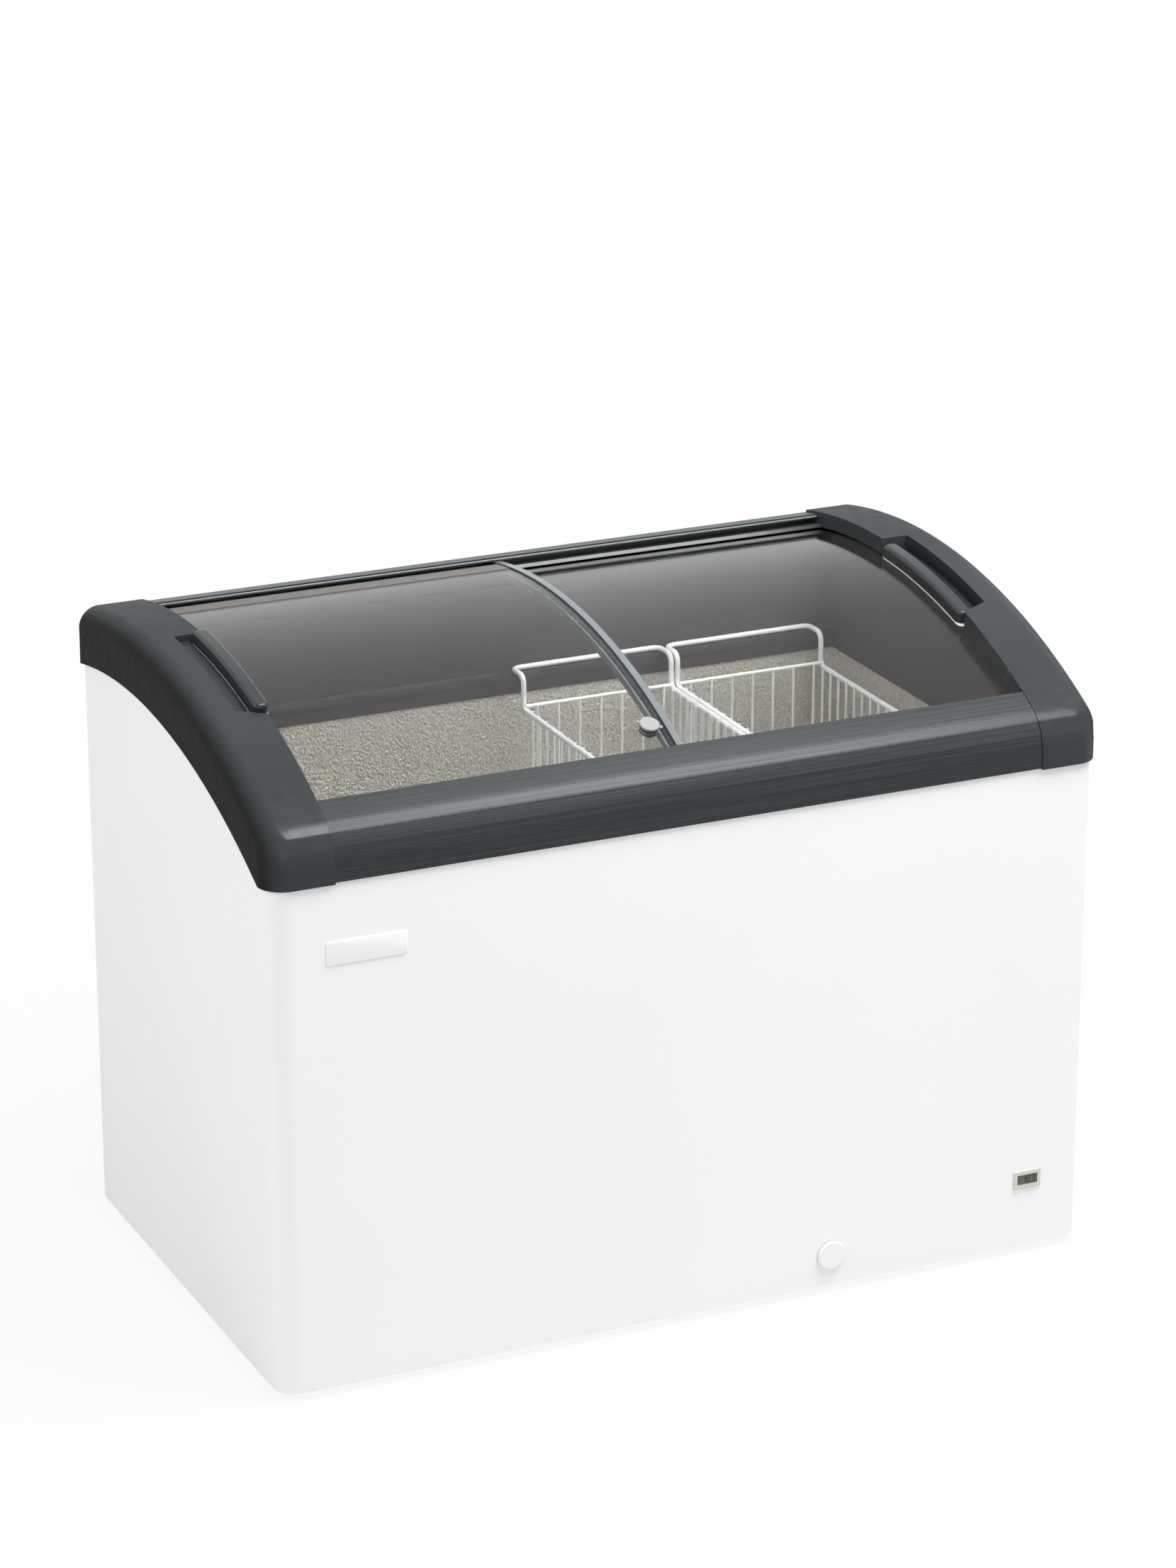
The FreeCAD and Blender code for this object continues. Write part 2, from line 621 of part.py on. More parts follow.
def make_rear_rail():
    """Extruded rear rail: a lip over the upper lid and a foot under the lower one."""
    half = CAP_X - RAIL_SEAM
    back = REAR_Y + CAP_WALL - RAIL_STEP
    low = REAR_DECK - REAR_SKIRT
    radius = ARC_RADIUS - REAR_RAIL_DROP
    top = arc_edge(radius, COLLAR_Y, back, -half)
    points = [top.Vertexes[1].Point, Vector(-half, back, low), Vector(-half, REAR_Y, low),
              Vector(-half, REAR_Y, REAR_DECK), Vector(-half, COLLAR_Y, REAR_DECK), top.Vertexes[0].Point]
    rail = prism([top] + chain(points), -half, half)
    rear_end = RUNNER_REAR + RUNNER_WALL + RUNNER_PLAY
    floor = LOWER_TOP - GLASS - RUNNER_WALL - RUNNER_PLAY
    ahead = COLLAR_Y - 2 * CAP_WALL
    rail = rail.cut(sector(floor, ARC_RADIUS, ahead, LIP_Y, -half, half))
    rail = rail.cut(lid_groove(UPPER_TOP, ahead, rear_end, half))
    rail = rail.cut(lid_groove(LOWER_TOP, ahead, rear_end, half))
    return rail.cut(track_bar(half, GLAZING_PLAY))


def track_bar(half, play=0.0):
    """Bar between the two rear grooves, let into the rear rail with a little play."""
    low = LOWER_TOP + RUNNER_WALL + RUNNER_PLAY
    high = UPPER_TOP - GLASS - RUNNER_WALL - RUNNER_PLAY
    tail = LIP_Y + TRACK_TAIL + CAP_WALL
    return sector(low - play, high + play, TRACK_Y, tail + play, -half, half)


def make_rear_track():
    """Bright aluminium bar that parts the two lids at the rear."""
    return track_bar(CAP_X - RAIL_SEAM)


def make_lid_glass(lid_top, play=0.0):
    """Curved pane of the right-hand lid, enlarged by play to seat other pieces on it."""
    front = RUNNER_FRONT + RUNNER_WALL - play
    rear = RUNNER_REAR - RUNNER_WALL + play
    inner_x = -LID_OVERLAP / 2 - play
    return sector(lid_top - GLASS - play, lid_top + play, front, rear, inner_x, LID_END + play)


def make_runner(lid_top, at_front):
    """Channel clipped over the front or rear edge of a lid's glass."""
    low = lid_top - GLASS - RUNNER_WALL
    high = lid_top + RUNNER_WALL
    if at_front:
        y0, y1 = RUNNER_FRONT, RUNNER_FRONT + RUNNER_DEPTH
    else:
        y0, y1 = RUNNER_REAR - RUNNER_DEPTH, RUNNER_REAR
    channel = sector(low, high, y0, y1, -LID_OVERLAP / 2, LID_END)
    return channel.cut(make_lid_glass(lid_top, GLAZING_PLAY))


def make_edge_strip(lid_top, rise):
    """Clear strip clipped over the inner edge of a lid, raised by rise where the lids interlock."""
    y0 = RUNNER_FRONT + RUNNER_DEPTH
    y1 = RUNNER_REAR - RUNNER_DEPTH
    x0 = -LID_OVERLAP / 2 - RUNNER_WALL
    low = lid_top - GLASS - RUNNER_WALL
    high = lid_top + RUNNER_WALL
    strip = sector(low, high, y0, y1, x0, x0 + EDGE_STRIP)
    if rise:
        bead = sector(high - RUNNER_WALL / 2, high + rise, RAIL_REAR + LID_CLEARANCE, TRACK_Y - LID_CLEARANCE,
                      x0, x0 + 2 * RUNNER_WALL)
        strip = strip.fuse(bead)
    return strip.cut(make_lid_glass(lid_top, GLAZING_PLAY)).removeSplitter()


def edge_radius(edge):
    """Distance of an edge's middle from the canopy's axis."""
    mid = edge.valueAt((edge.FirstParameter + edge.LastParameter) / 2)
    return math.hypot(mid.y - ARC_Y, mid.z - ARC_Z)


def make_handle(lid_top):
    """Rounded grip standing on the glass of the right-hand lid."""
    base = lid_top + PAD + 2 * PAD_GAP
    x0 = HANDLE_X - HANDLE_WIDTH
    grip = sector(base, base + HANDLE_HEIGHT, HANDLE_FRONT_Y, HANDLE_REAR_Y, x0, HANDLE_X)
    middle = base + HANDLE_HEIGHT / 2
    upright = [e for e in grip.Edges if abs(edge_radius(e) - middle) < HANDLE_HEIGHT / 4]
    grip = grip.makeFillet(HANDLE_END_ROUND, upright)
    crown = [e for e in grip.Edges if edge_radius(e) > base + HANDLE_HEIGHT * 0.9]
    return grip.makeFillet(HANDLE_TOP_ROUND, crown)


def make_handle_pad(lid_top):
    """Thin bonding pad that shows as a white line under the grip."""
    m = PAD_MARGIN
    low = lid_top + PAD_GAP
    x0 = HANDLE_X - HANDLE_WIDTH - m
    pad = sector(low, low + PAD, HANDLE_FRONT_Y - m, HANDLE_REAR_Y + m, x0, HANDLE_X + m)
    upright = [e for e in pad.Edges if abs(edge_radius(e) - low - PAD / 2) < PAD / 4]
    return pad.makeFillet(HANDLE_END_ROUND, upright)


def make_lock_barrel():
    """Lock body clamped through the upper lid's glass."""
    bore = LOCK_STEM + 2 * LOCK_PLAY
    low = -GLASS - LOCK_NUT_HEIGHT
    body = cylinder(LOCK_BODY, Vector(0, 0, low), Vector(0, 0, LOCK_FLANGE_HEIGHT))
    flange = cylinder(LOCK_FLANGE, Vector(0, 0, 0), Vector(0, 0, LOCK_FLANGE_HEIGHT))
    nut = cylinder(LOCK_FLANGE, Vector(0, 0, low), Vector(0, 0, -GLASS))
    barrel = body.fuse([flange, nut])
    high = LOCK_FLANGE_HEIGHT + OVERCUT
    barrel = barrel.cut(cylinder(bore, Vector(0, 0, low - OVERCUT), Vector(0, 0, high)))
    barrel = on_glass(barrel.removeSplitter(), LOCK_X, LOCK_Y, UPPER_TOP)
    return barrel.cut(mirrored(make_lid_glass(UPPER_TOP, GLAZING_PLAY)).cut(lock_hole(GLAZING_PLAY)))


def make_lock_plunger():
    """Push button whose stem drops in front of the lower lid's edge."""
    low = -GLASS - LOCK_NUT_HEIGHT
    under = LOCK_FLANGE_HEIGHT + LOCK_HEAD_GAP
    stem = cylinder(LOCK_STEM, Vector(0, 0, low), Vector(0, 0, under))
    head = cylinder(LOCK_HEAD, Vector(0, 0, under), Vector(0, 0, under + LOCK_HEAD_HEIGHT))
    head = head.makeChamfer(LOCK_HEAD_HEIGHT / 4, [e for e in head.Edges if e.BoundBox.ZMin > under + 1])
    reach = LOCK_HEAD / 2 + LOCK_EAR
    ears = box(-reach, reach, -LOCK_EAR / 2, LOCK_EAR / 2, under, under + LOCK_HEAD_HEIGHT / 2)
    ears.rotate(Vector(0, 0, 0), Vector(0, 0, 1), LOCK_EAR_TURN)
    return on_glass(stem.fuse([head, ears]).removeSplitter(), LOCK_X, LOCK_Y, UPPER_TOP)


def lock_hole(play=0.0):
    """Hole in the upper lid's glass, drawn in by play."""
    drill = cylinder(LOCK_BODY + 2 * GLAZING_PLAY - 2 * play, Vector(0, 0, -2 * GLASS), Vector(0, 0, GLASS))
    return on_glass(drill, LOCK_X, LOCK_Y, UPPER_TOP)


def make_basket(x0):
    """Wire basket: one long bent wire makes both hangers and the side rims."""
    x1 = x0 + BASKET_WIDTH
    hang_z = LEDGE_Z + wire_corner(HANGER_WIRE) + SEAT_GAP
    hang_y = (COLLAR_Y + NOSE_Y) / 2
    rim_z = hang_z - BASKET_RIM_DROP
    leg_y = hang_y - BASKET_LEG_INSET
    half_loop = [Vector(x1, leg_y, rim_z), Vector(x1, leg_y, hang_z), Vector(x1, hang_y, hang_z),
                 Vector(x0, hang_y, hang_z), Vector(x0, leg_y, hang_z), Vector(x0, leg_y, rim_z)]
    front_loop = [Vector(p.x, -p.y, p.z) for p in reversed(half_loop)]
    start = Vector(x1, 0, rim_z)
    frame = wire([start] + half_loop + front_loop + [start], HANGER_WIRE, WIRE_BEND)
    end_y = leg_y - WIRE_BEND / 2
    end_z = rim_z + WIRE_BEND / 2
    rims = [wire([Vector(x0, y, end_z), Vector(x1, y, end_z)], RIM_WIRE) for y in (-end_y, end_y)]
    thin = wire_flat(GRID_WIRE, 4)
    low = rim_z - BASKET_DEPTH
    inset = wire_flat(HANGER_WIRE) + thin - WELD
    ribs = []
    for i in range(SIDE_WIRES):
        y = end_y * (2 * (i + 0.5) / SIDE_WIRES - 1)
        ribs.append(hoop(Vector(x0 + inset, y, rim_z + thin), Vector(x1 - inset, y, rim_z + thin), low))
    deep = end_y - wire_flat(RIM_WIRE) - thin + WELD
    for i in range(END_WIRES):
        x = x0 + BASKET_WIDTH * (i + 0.5) / END_WIRES
        top = end_z + thin
        ribs.append(hoop(Vector(x, -deep, top), Vector(x, deep, top), low + 2 * thin - WELD))
    return frame.fuse(rims + ribs)


def hoop(start, end, low):
    """Thin wire down from one rim, along the bottom and up to the other."""
    down = Vector(start.x, start.y, low)
    up = Vector(end.x, end.y, low)
    return wire([start, down, up, end], GRID_WIRE, 0, 4)


def hood_profile(extra, rear=REAR_Y - 2 * SHEET):
    """The machine compartment's room, enlarged by extra above and to the left."""
    return box(HOOD_X - extra, SIDE_X - SHEET, FRONT_Y + SHEET, rear, PAN_TOP, HOOD_TOP + extra)


def pipe_chase():
    """Upright slot behind the tank where the tubes come down to the machine compartment."""
    x0 = HOOD_X + CHASE_INSET
    y0 = TANK_Y + LINER
    return box(x0, x0 + CHASE_WIDTH, y0, y0 + 3 * EVAPORATOR_TUBE, HOOD_TOP - OVERCUT, coil_levels()[-1])


def make_machine_hood():
    """Angled sheet that keeps the foam out of the machine compartment."""
    hood = hood_profile(HOOD_SHEET).cut(hood_profile(0))
    deep = REAR_Y - 2 * SHEET - PIPE_SLOT
    top = HOOD_TOP + HOOD_SHEET + OVERCUT
    slot = box(HOOD_X - OVERCUT, SIDE_X, deep, REAR_Y, HOOD_TOP - OVERCUT, top)
    hood = hood.cut(slot).cut(pipe_chase())
    room = cabinet_plan(SHEET, REAR_Y, FOOT_HEIGHT).extrude(Vector(0, 0, CROWN_HEIGHT))
    return hood.common(room)


def coil_levels():
    """Heights of the evaporator's turns, lowest first."""
    low = STEP_TOP + COIL_LOW_RISE
    return [low + COIL_PITCH * i for i in range(COIL_TURNS)]


def coil_ends():
    """Outlet under the lowest turn and inlet that comes down behind the turns."""
    x = HOOD_X + CHASE_INSET + CHASE_WIDTH / 6
    y = TANK_Y + LINER + wire_flat(EVAPORATOR_TUBE)
    z = HOOD_TOP - 2 * EVAPORATOR_TUBE
    behind = y + 2 * wire_corner(EVAPORATOR_TUBE) + SEAT_GAP
    return Vector(x, y, z), Vector(x + CHASE_WIDTH * 0.6, behind, z)


def make_evaporator_coil():
    """One unbroken tube wound round the tank, with both ends led down the chase."""
    outlet, inlet = coil_ends()
    x = TANK_X + LINER + wire_flat(EVAPORATOR_TUBE)
    y = outlet.y
    levels = coil_levels()
    points = [outlet, Vector(outlet.x, y, levels[0])]
    rise_x = outlet.x - COIL_STEP / 2
    for i, z in enumerate(levels):
        points += [Vector(x, y, z), Vector(x, -y, z), Vector(-x, -y, z), Vector(-x, y, z)]
        if z < levels[-1]:
            points += [Vector(rise_x, y, z), Vector(rise_x + COIL_STEP, y, levels[i + 1])]
    over = levels[-1] - 3 * EVAPORATOR_TUBE
    points += [Vector(rise_x + COIL_STEP, y, levels[-1]), Vector(inlet.x, inlet.y, over), inlet]
    return wire(points, EVAPORATOR_TUBE)


def coil_room():
    """Band between tank and foam that the evaporator tube lies in."""
    levels = coil_levels()
    grow = LINER + 2 * wire_corner(EVAPORATOR_TUBE)
    x = TANK_X + grow
    y = TANK_Y + grow
    return box(-x, x, -y, y, levels[0] - EVAPORATOR_TUBE, levels[-1] + EVAPORATOR_TUBE)


def condenser_places():
    y = REAR_Y - SHEET - wire_flat(CONDENSER_TUBE)
    low = HOOD_TOP + CONDENSER_PITCH / 2
    return y, [low + CONDENSER_PITCH * i for i in range(CONDENSER_RUNS)]


def make_condenser_coil():
    """Serpentine tube behind the rear sheet, both ends led into the machine compartment."""
    y, levels = condenser_places()
    inlet, outlet = condenser_ends()
    half = inlet.x
    turn_z = HOOD_TOP - 2 * CONDENSER_TUBE
    points = [inlet, Vector(inlet.x, inlet.y, turn_z), Vector(inlet.x, y, turn_z)]
    for i, z in enumerate(levels):
        row = [Vector(half, y, z), Vector(-half, y, z)]
        points += row if i % 2 == 0 else row[::-1]
    points[-1] = Vector(outlet.x, y, levels[-1])
    points += [Vector(outlet.x, y, turn_z), Vector(outlet.x, outlet.y, turn_z), outlet]
    return wire(points, CONDENSER_TUBE, CONDENSER_BEND)


def condenser_ends():
    """Inlet and outlet of the condenser, in front of the dished grille and beside the thermostat."""
    y, _ = condenser_places()
    x = thermostat_place().x - THERMOSTAT_WIDTH / 2 - THERMOSTAT_GAP - DRIER_DIAMETER / 2
    z = HOOD_TOP - CONDENSER_TAIL
    back = y - TUBE_SETBACK
    return Vector(x - CONDENSER_END_GAP, back, z), Vector(x, back, z)


def condenser_room():
    _, levels = condenser_places()
    _, outlet = condenser_ends()
    half = outlet.x + 2 * CONDENSER_TUBE
    deep = REAR_Y - SHEET - 2 * wire_corner(CONDENSER_TUBE)
    top = levels[-1] + CONDENSER_PITCH
    return box(-half, half, deep, REAR_Y, HOOD_TOP - OVERCUT, top)


def make_insulation_foam():
    """Foam that fills the walls between the outer sheet and the tank."""
    block = cabinet_plan(SHEET, REAR_Y - SHEET, PAN_TOP).extrude(Vector(0, 0, CROWN_HEIGHT))
    x = SIDE_X
    sides = below_skirt(CAP_SKIRT - SHELL_TUCK + 2 * CAP_WALL, FRONT_DECK - DECK_SHEET, -x, x)
    rear = box(-x, x, COLLAR_Y, REAR_Y, 0, REAR_DECK - DECK_SHEET)
    foam = block.common(sides.fuse(rear))
    foam = foam.cut(tank_envelope())
    y = COLLAR_Y + COLLAR_WALL
    deck = TANK_X + COLLAR_WALL
    foam = foam.cut(box(-deck, deck, -y, y, TANK_RIM, CROWN_HEIGHT))
    foam = foam.cut([hood_profile(HOOD_SHEET, REAR_Y), coil_room(), condenser_room(), pipe_chase()])
    foam = foam.cut(drain_envelope())
    strips = []
    for side in (-1, 1):
        edge = side * (SIDE_X - SHEET)
        inner = edge - side * RETURN_FLANGE
        x0, x1 = min(edge, inner), max(edge, inner)
        strips.append(box(x0, x1, REAR_Y - 2 * SHEET, REAR_Y, 0, CROWN_HEIGHT))
    return foam.cut(strips).removeSplitter()


def drain_run():
    start = Vector(DRAIN_X, FRONT_Y, DRAIN_HEIGHT)
    turn = Vector(DRAIN_X, FRONT_Y + DRAIN_LENGTH, DRAIN_HEIGHT)
    rise = Vector(DRAIN_X, FRONT_Y + DRAIN_LENGTH, FLOOR_HEIGHT - LINER)
    return start, turn, rise


def drain_envelope():
    start, turn, rise = drain_run()
    outer = DRAIN_BORE + 2 * DRAIN_PIPE_WALL
    tail = turn + Vector(0, outer / 2, 0)
    return cylinder(outer, start, tail).fuse(cylinder(outer, turn, rise))


def make_drain_pipe():
    """Elbow from the tank's floor to the front panel."""
    start, turn, rise = drain_run()
    end = turn + Vector(0, DRAIN_BORE / 2, 0)
    bore = cylinder(DRAIN_BORE, start - Vector(0, 1, 0), end)
    bore = bore.fuse(cylinder(DRAIN_BORE, turn, rise + Vector(0, 0, 1)))
    return drain_envelope().cut(bore)


def make_drain_cap():
    """Ribbed cap with a plug that closes the drain."""
    mid = Vector(DRAIN_X, FRONT_Y, DRAIN_HEIGHT)
    out = Vector(0, -1, 0)
    seat = mid + out * SEAL
    rim = []
    for i in range(2 * DRAIN_RIBS + 1):
        turn = math.pi * i / DRAIN_RIBS
        r = DRAIN_CAP / 2 - (DRAIN_RIB if i % 2 else 0)
        rim.append(seat + Vector(r * math.cos(turn), 0, r * math.sin(turn)))
    disc = Part.Face(Part.makePolygon(rim)).extrude(out * (DRAIN_CAP_DEPTH - DRAIN_RIB))
    inner = DRAIN_CAP / 2 - DRAIN_RIB
    shoulder = seat + out * (DRAIN_CAP_DEPTH - DRAIN_RIB)
    crown = Part.makeCone(inner, inner - DRAIN_RIB, DRAIN_RIB, shoulder, out)
    plug = cylinder(DRAIN_BORE - 2 * PLUG_PLAY, seat, mid - out * DRAIN_PLUG)
    return disc.fuse([crown, plug]).removeSplitter()


def make_drain_seal():
    """Flat ring between the drain cap and the front panel."""
    mid = Vector(DRAIN_X, FRONT_Y, DRAIN_HEIGHT)
    face = mid - Vector(0, SEAL, 0)
    ring = cylinder(DRAIN_CAP - 4 * SEAL, mid, face)
    return ring.cut(cylinder(DRAIN_BORE, mid + Vector(0, 1, 0), face - Vector(0, 1, 0)))


def gauge_block(margin, y0, y1):
    """Upright block centred on the temperature gauge."""
    w = GAUGE_WIDTH / 2 + margin
    h = GAUGE_TALL / 2 + margin
    return box(GAUGE_X - w, GAUGE_X + w, y0, y1, GAUGE_HEIGHT - h, GAUGE_HEIGHT + h)


def gauge_window(y0, y1):
    w = GAUGE_WINDOW_WIDTH / 2
    h = GAUGE_WINDOW_TALL / 2
    return box(GAUGE_X - w, GAUGE_X + w, y0, y1, GAUGE_HEIGHT - h, GAUGE_HEIGHT + h)


def make_gauge_housing():
    """Snap-in temperature gauge: bezel outside the panel, body behind it."""
    front = FRONT_Y - GAUGE_BEZEL
    bezel = gauge_block(0, front, FRONT_Y)
    body = gauge_block(-GAUGE_BODY_INSET - PLUG_PLAY, FRONT_Y, FRONT_Y + GAUGE_BODY_DEPTH)
    return bezel.fuse(body).cut(gauge_window(front - OVERCUT, front + 2 * GAUGE_RECESS)).removeSplitter()


def make_gauge_display():
    """Display glass sunk in the bezel."""
    front = FRONT_Y - GAUGE_BEZEL
    return gauge_window(front + GAUGE_RECESS, front + 2 * GAUGE_RECESS)


def make_badge_plate():
    """Bare raised plate at the upper left of the front panel."""
    w = BADGE_WIDTH / 2
    h = BADGE_TALL / 2
    plate = box(BADGE_X - w, BADGE_X + w, FRONT_Y - BADGE_THICK, FRONT_Y, BADGE_HEIGHT - h, BADGE_HEIGHT + h)
    corners = [e for e in plate.Edges if e.BoundBox.XLength < 0.01 and e.BoundBox.ZLength < 0.01]
    return plate.makeFillet(BADGE_ROUND, corners)


def dome(radius, z, size, way):
    """Turned profile of a pressed end at height z, from its flat to the wall, on flats."""
    turns = [math.radians(90 * i / DOME_FLATS) for i in range(DOME_FLATS, -1, -1)]
    return [Vector(radius - size * (1 - math.cos(t)), 0, z - way * size * (1 - math.sin(t))) for t in turns]


def make_compressor():
    """Hermetic compressor pot with its carrier feet and tube stubs."""
    z0 = PAN_TOP + MOUNT_HEIGHT
    top = z0 + COMPRESSOR_HEIGHT
    r = COMPRESSOR_DIAMETER / 2
    seam = z0 + COMPRESSOR_HEIGHT * WELD_SEAM
    lip = r + SEAM_LIP
    profile = [Vector(0, 0, z0)] + dome(r, z0, COMPRESSOR_DOME / 2, -1)
    over = seam + SEAM_LIP
    profile += [Vector(r, 0, seam), Vector(lip, 0, seam), Vector(lip, 0, over), Vector(r, 0, over)]
    profile += dome(r, top, COMPRESSOR_DOME, 1)[::-1] + [Vector(0, 0, top), Vector(0, 0, z0)]
    face = Part.Face(Part.Wire(chain(profile)))
    pot = face.revolve(Vector(0, 0, z0), Vector(0, 0, 1), 360)
    reach = MOUNT_SPREAD + MOUNT_DIAMETER / 2
    carrier = box(-reach, reach, -reach, reach, z0, z0 + CARRIER_SHEET)
    through = Vector(0, 0, 2 * CARRIER_SHEET)
    for x, y in mount_offsets():
        hole = Vector(x, y, z0)
        carrier = carrier.cut(cylinder(BOLT_HOLE, hole - through, hole + through))
    pot = pot.fuse(carrier)
    pot.translate(Vector(COMPRESSOR_X, COMPRESSOR_Y, 0))
    return pot.removeSplitter()


def mount_offsets():
    s = MOUNT_SPREAD
    return [(-s, -s), (-s, s), (s, -s), (s, s)]


def make_compressor_mounts():
    """Rubber buffers with bolts under the compressor's carrier."""
    mounts = []
    for x, y in mount_offsets():
        low = Vector(COMPRESSOR_X + x, COMPRESSOR_Y + y, PAN_TOP)
        seat = low + Vector(0, 0, MOUNT_HEIGHT)
        buffer = cylinder(MOUNT_DIAMETER, low, seat)
        bolt = cylinder(BOLT, seat, seat + Vector(0, 0, BOLT_LENGTH))
        mounts.append(buffer.fuse(bolt))
    return Part.makeCompound(mounts)


def make_relay_box():
    """Start relay and overload cover on the side of the compressor."""
    r = COMPRESSOR_DIAMETER / 2
    z0 = PAN_TOP + MOUNT_HEIGHT + COMPRESSOR_HEIGHT * 0.35
    w = RELAY_WIDTH / 2
    front = COMPRESSOR_Y - r - RELAY_DEPTH
    cover = box(COMPRESSOR_X - w, COMPRESSOR_X + w, front, COMPRESSOR_Y - r / 2, z0, z0 + RELAY_TALL)
    cover = cover.makeFillet(RELAY_ROUND, [e for e in cover.Edges if e.BoundBox.YMax < front + RELAY_ROUND])
    return cover.cut(make_compressor())


def stub(angle, level, reach=0.0):
    """Point on the compressor's wall at a turn from +X, or out from it by reach."""
    r = COMPRESSOR_DIAMETER / 2 + reach
    a = math.radians(angle)
    z = PAN_TOP + MOUNT_HEIGHT + COMPRESSOR_HEIGHT * level
    return Vector(COMPRESSOR_X + r * math.cos(a), COMPRESSOR_Y + r * math.sin(a), z)


def make_suction_pipe():
    """Return tube from the evaporator to the compressor."""
    top, _ = coil_ends()
    wall = stub(135, 0.45)
    low = Vector(top.x, top.y, wall.z + PIPE_RISE)
    return wire([top, low, stub(135, 0.45, STUB_REACH), wall], EVAPORATOR_TUBE, PIPE_BEND)


def make_discharge_pipe():
    """Hot gas tube from the compressor to the condenser."""
    top, _ = condenser_ends()
    wall = stub(60, 0.4)
    low = Vector(top.x, top.y, wall.z + PIPE_RISE)
    return wire([top, low, stub(60, 0.4, STUB_REACH), wall], CONDENSER_TUBE, PIPE_BEND)


def make_filter_drier():
    """Copper drier in the liquid line, drawn in at both ends."""
    _, top = condenser_ends()
    r = DRIER_DIAMETER / 2
    neck = DRIER_NECK
    tip = CAPILLARY / 2
    low = -neck - DRIER_LENGTH
    profile = [Vector(0, 0, 0), Vector(CONDENSER_TUBE / 2, 0, 0), Vector(r, 0, -neck), Vector(r, 0, low),
               Vector(tip, 0, low - neck), Vector(0, 0, low - neck), Vector(0, 0, 0)]
    body = Part.Face(Part.makePolygon(profile)).revolve(Vector(0, 0, 0), Vector(0, 0, 1), 360)
    body.translate(top)
    return body


def make_capillary_tube():
    """Fine tube from the drier to the evaporator's first turn."""
    _, top = condenser_ends()
    _, end = coil_ends()
    start = top - Vector(0, 0, DRIER_LENGTH + 2 * DRIER_NECK)
    dip = start - Vector(0, 0, CAPILLARY_DIP)
    turn = Vector(end.x + CAPILLARY_SWEEP, end.y + CAPILLARY_SWEEP / 4, dip.z)
    rise = Vector(end.x, end.y, dip.z + CAPILLARY_SWEEP)
    return wire([start, dip, turn, rise, end], CAPILLARY, CAPILLARY_BEND)


def grille_place():
    x = HOOD_X + (SIDE_X - SHEET - HOOD_X) / 2
    z = PAN_TOP + (HOOD_TOP - PAN_TOP) / 2
    return x, z


def grille_floor():
    """Depth of the dished floor of the rear grille, at its outer face."""
    return REAR_Y - GRILLE_DISH


def make_rear_grille():
    """Dished, louvred cover over the machine compartment."""
    x, z = grille_place()
    w = GRILLE_WIDTH / 2 - SEAT_GAP
    h = GRILLE_TALL / 2 - SEAT_GAP
    t = GRILLE_SHEET
    floor = grille_floor()
    f = GRILLE_FLANGE
    cover = box(x - w, x + w, floor - t, REAR_Y, z - h, z + h)
    cover = cover.fuse(box(x - w - f, x + w + f, REAR_Y, REAR_Y + t, z - h - f, z + h + f))
    cover = cover.cut(box(x - w + t, x + w - t, floor, REAR_Y + t + OVERCUT, z - h + t, z + h - t))
    slots = []
    span = LOUVRE_LENGTH * 1.15
    low = z - LOUVRE_PITCH * (LOUVRE_ROWS - 1) / 2
    for column in range(LOUVRE_COLUMNS):
        x0 = x - w + 2 * f + span * column
        for row in range(LOUVRE_ROWS):
            z0 = low + LOUVRE_PITCH * row - LOUVRE_HEIGHT / 2
            slots.append(box(x0, x0 + LOUVRE_LENGTH, floor - 2 * t, floor + OVERCUT, z0, z0 + LOUVRE_HEIGHT))
    knob, gland = thermostat_place(), gland_place()
    slots.append(cylinder(SHAFT_HOLE, knob - Vector(0, 2 * t, 0), knob + Vector(0, 1, 0)))
    slots.append(cylinder(GLAND_NECK, gland - Vector(0, 2 * t, 0), gland + Vector(0, 1, 0)))
    return cover.cut(slots).removeSplitter()


def thermostat_place():
    x, z = grille_place()
    return Vector(x + GRILLE_WIDTH / 2 - KNOB_DIAMETER, grille_floor(), z + GRILLE_TALL / 4)


def gland_place():
    x, z = grille_place()
    return Vector(x + GRILLE_WIDTH / 2 - KNOB_DIAMETER, grille_floor(), z - GRILLE_TALL / 4)


def make_thermostat_body():
    """Thermostat box behind the grille."""
    p = thermostat_place()
    w = THERMOSTAT_WIDTH / 2
    h = THERMOSTAT_TALL / 2
    back = p - Vector(0, GRILLE_SHEET, 0)
    case = box(p.x - w, p.x + w, back.y - THERMOSTAT_DEPTH, back.y, p.z - h, p.z + h)
    socket = cylinder(KNOB_SHAFT + 2 * SHAFT_PLAY, back - Vector(0, KNOB_DEPTH, 0), back + Vector(0, 1, 0))
    return case.cut(socket)


def make_thermostat_knob():
    """Round knob with a grip bar, on the thermostat's shaft."""
    p = thermostat_place()
    near = p + Vector(0, KNOB_GAP, 0)
    far = near + Vector(0, KNOB_DEPTH, 0)
    skirt = cylinder(KNOB_DIAMETER, near, near + Vector(0, KNOB_DEPTH * 0.35, 0))
    r = KNOB_DIAMETER / 2
    bar = box(p.x - KNOB_BAR / 2, p.x + KNOB_BAR / 2, near.y, far.y, p.z - r * 0.9, p.z + r * 0.9)
    end = p - Vector(0, GRILLE_SHEET + KNOB_DEPTH - 1, 0)
    return skirt.fuse([bar, cylinder(KNOB_SHAFT, end, far)]).removeSplitter()


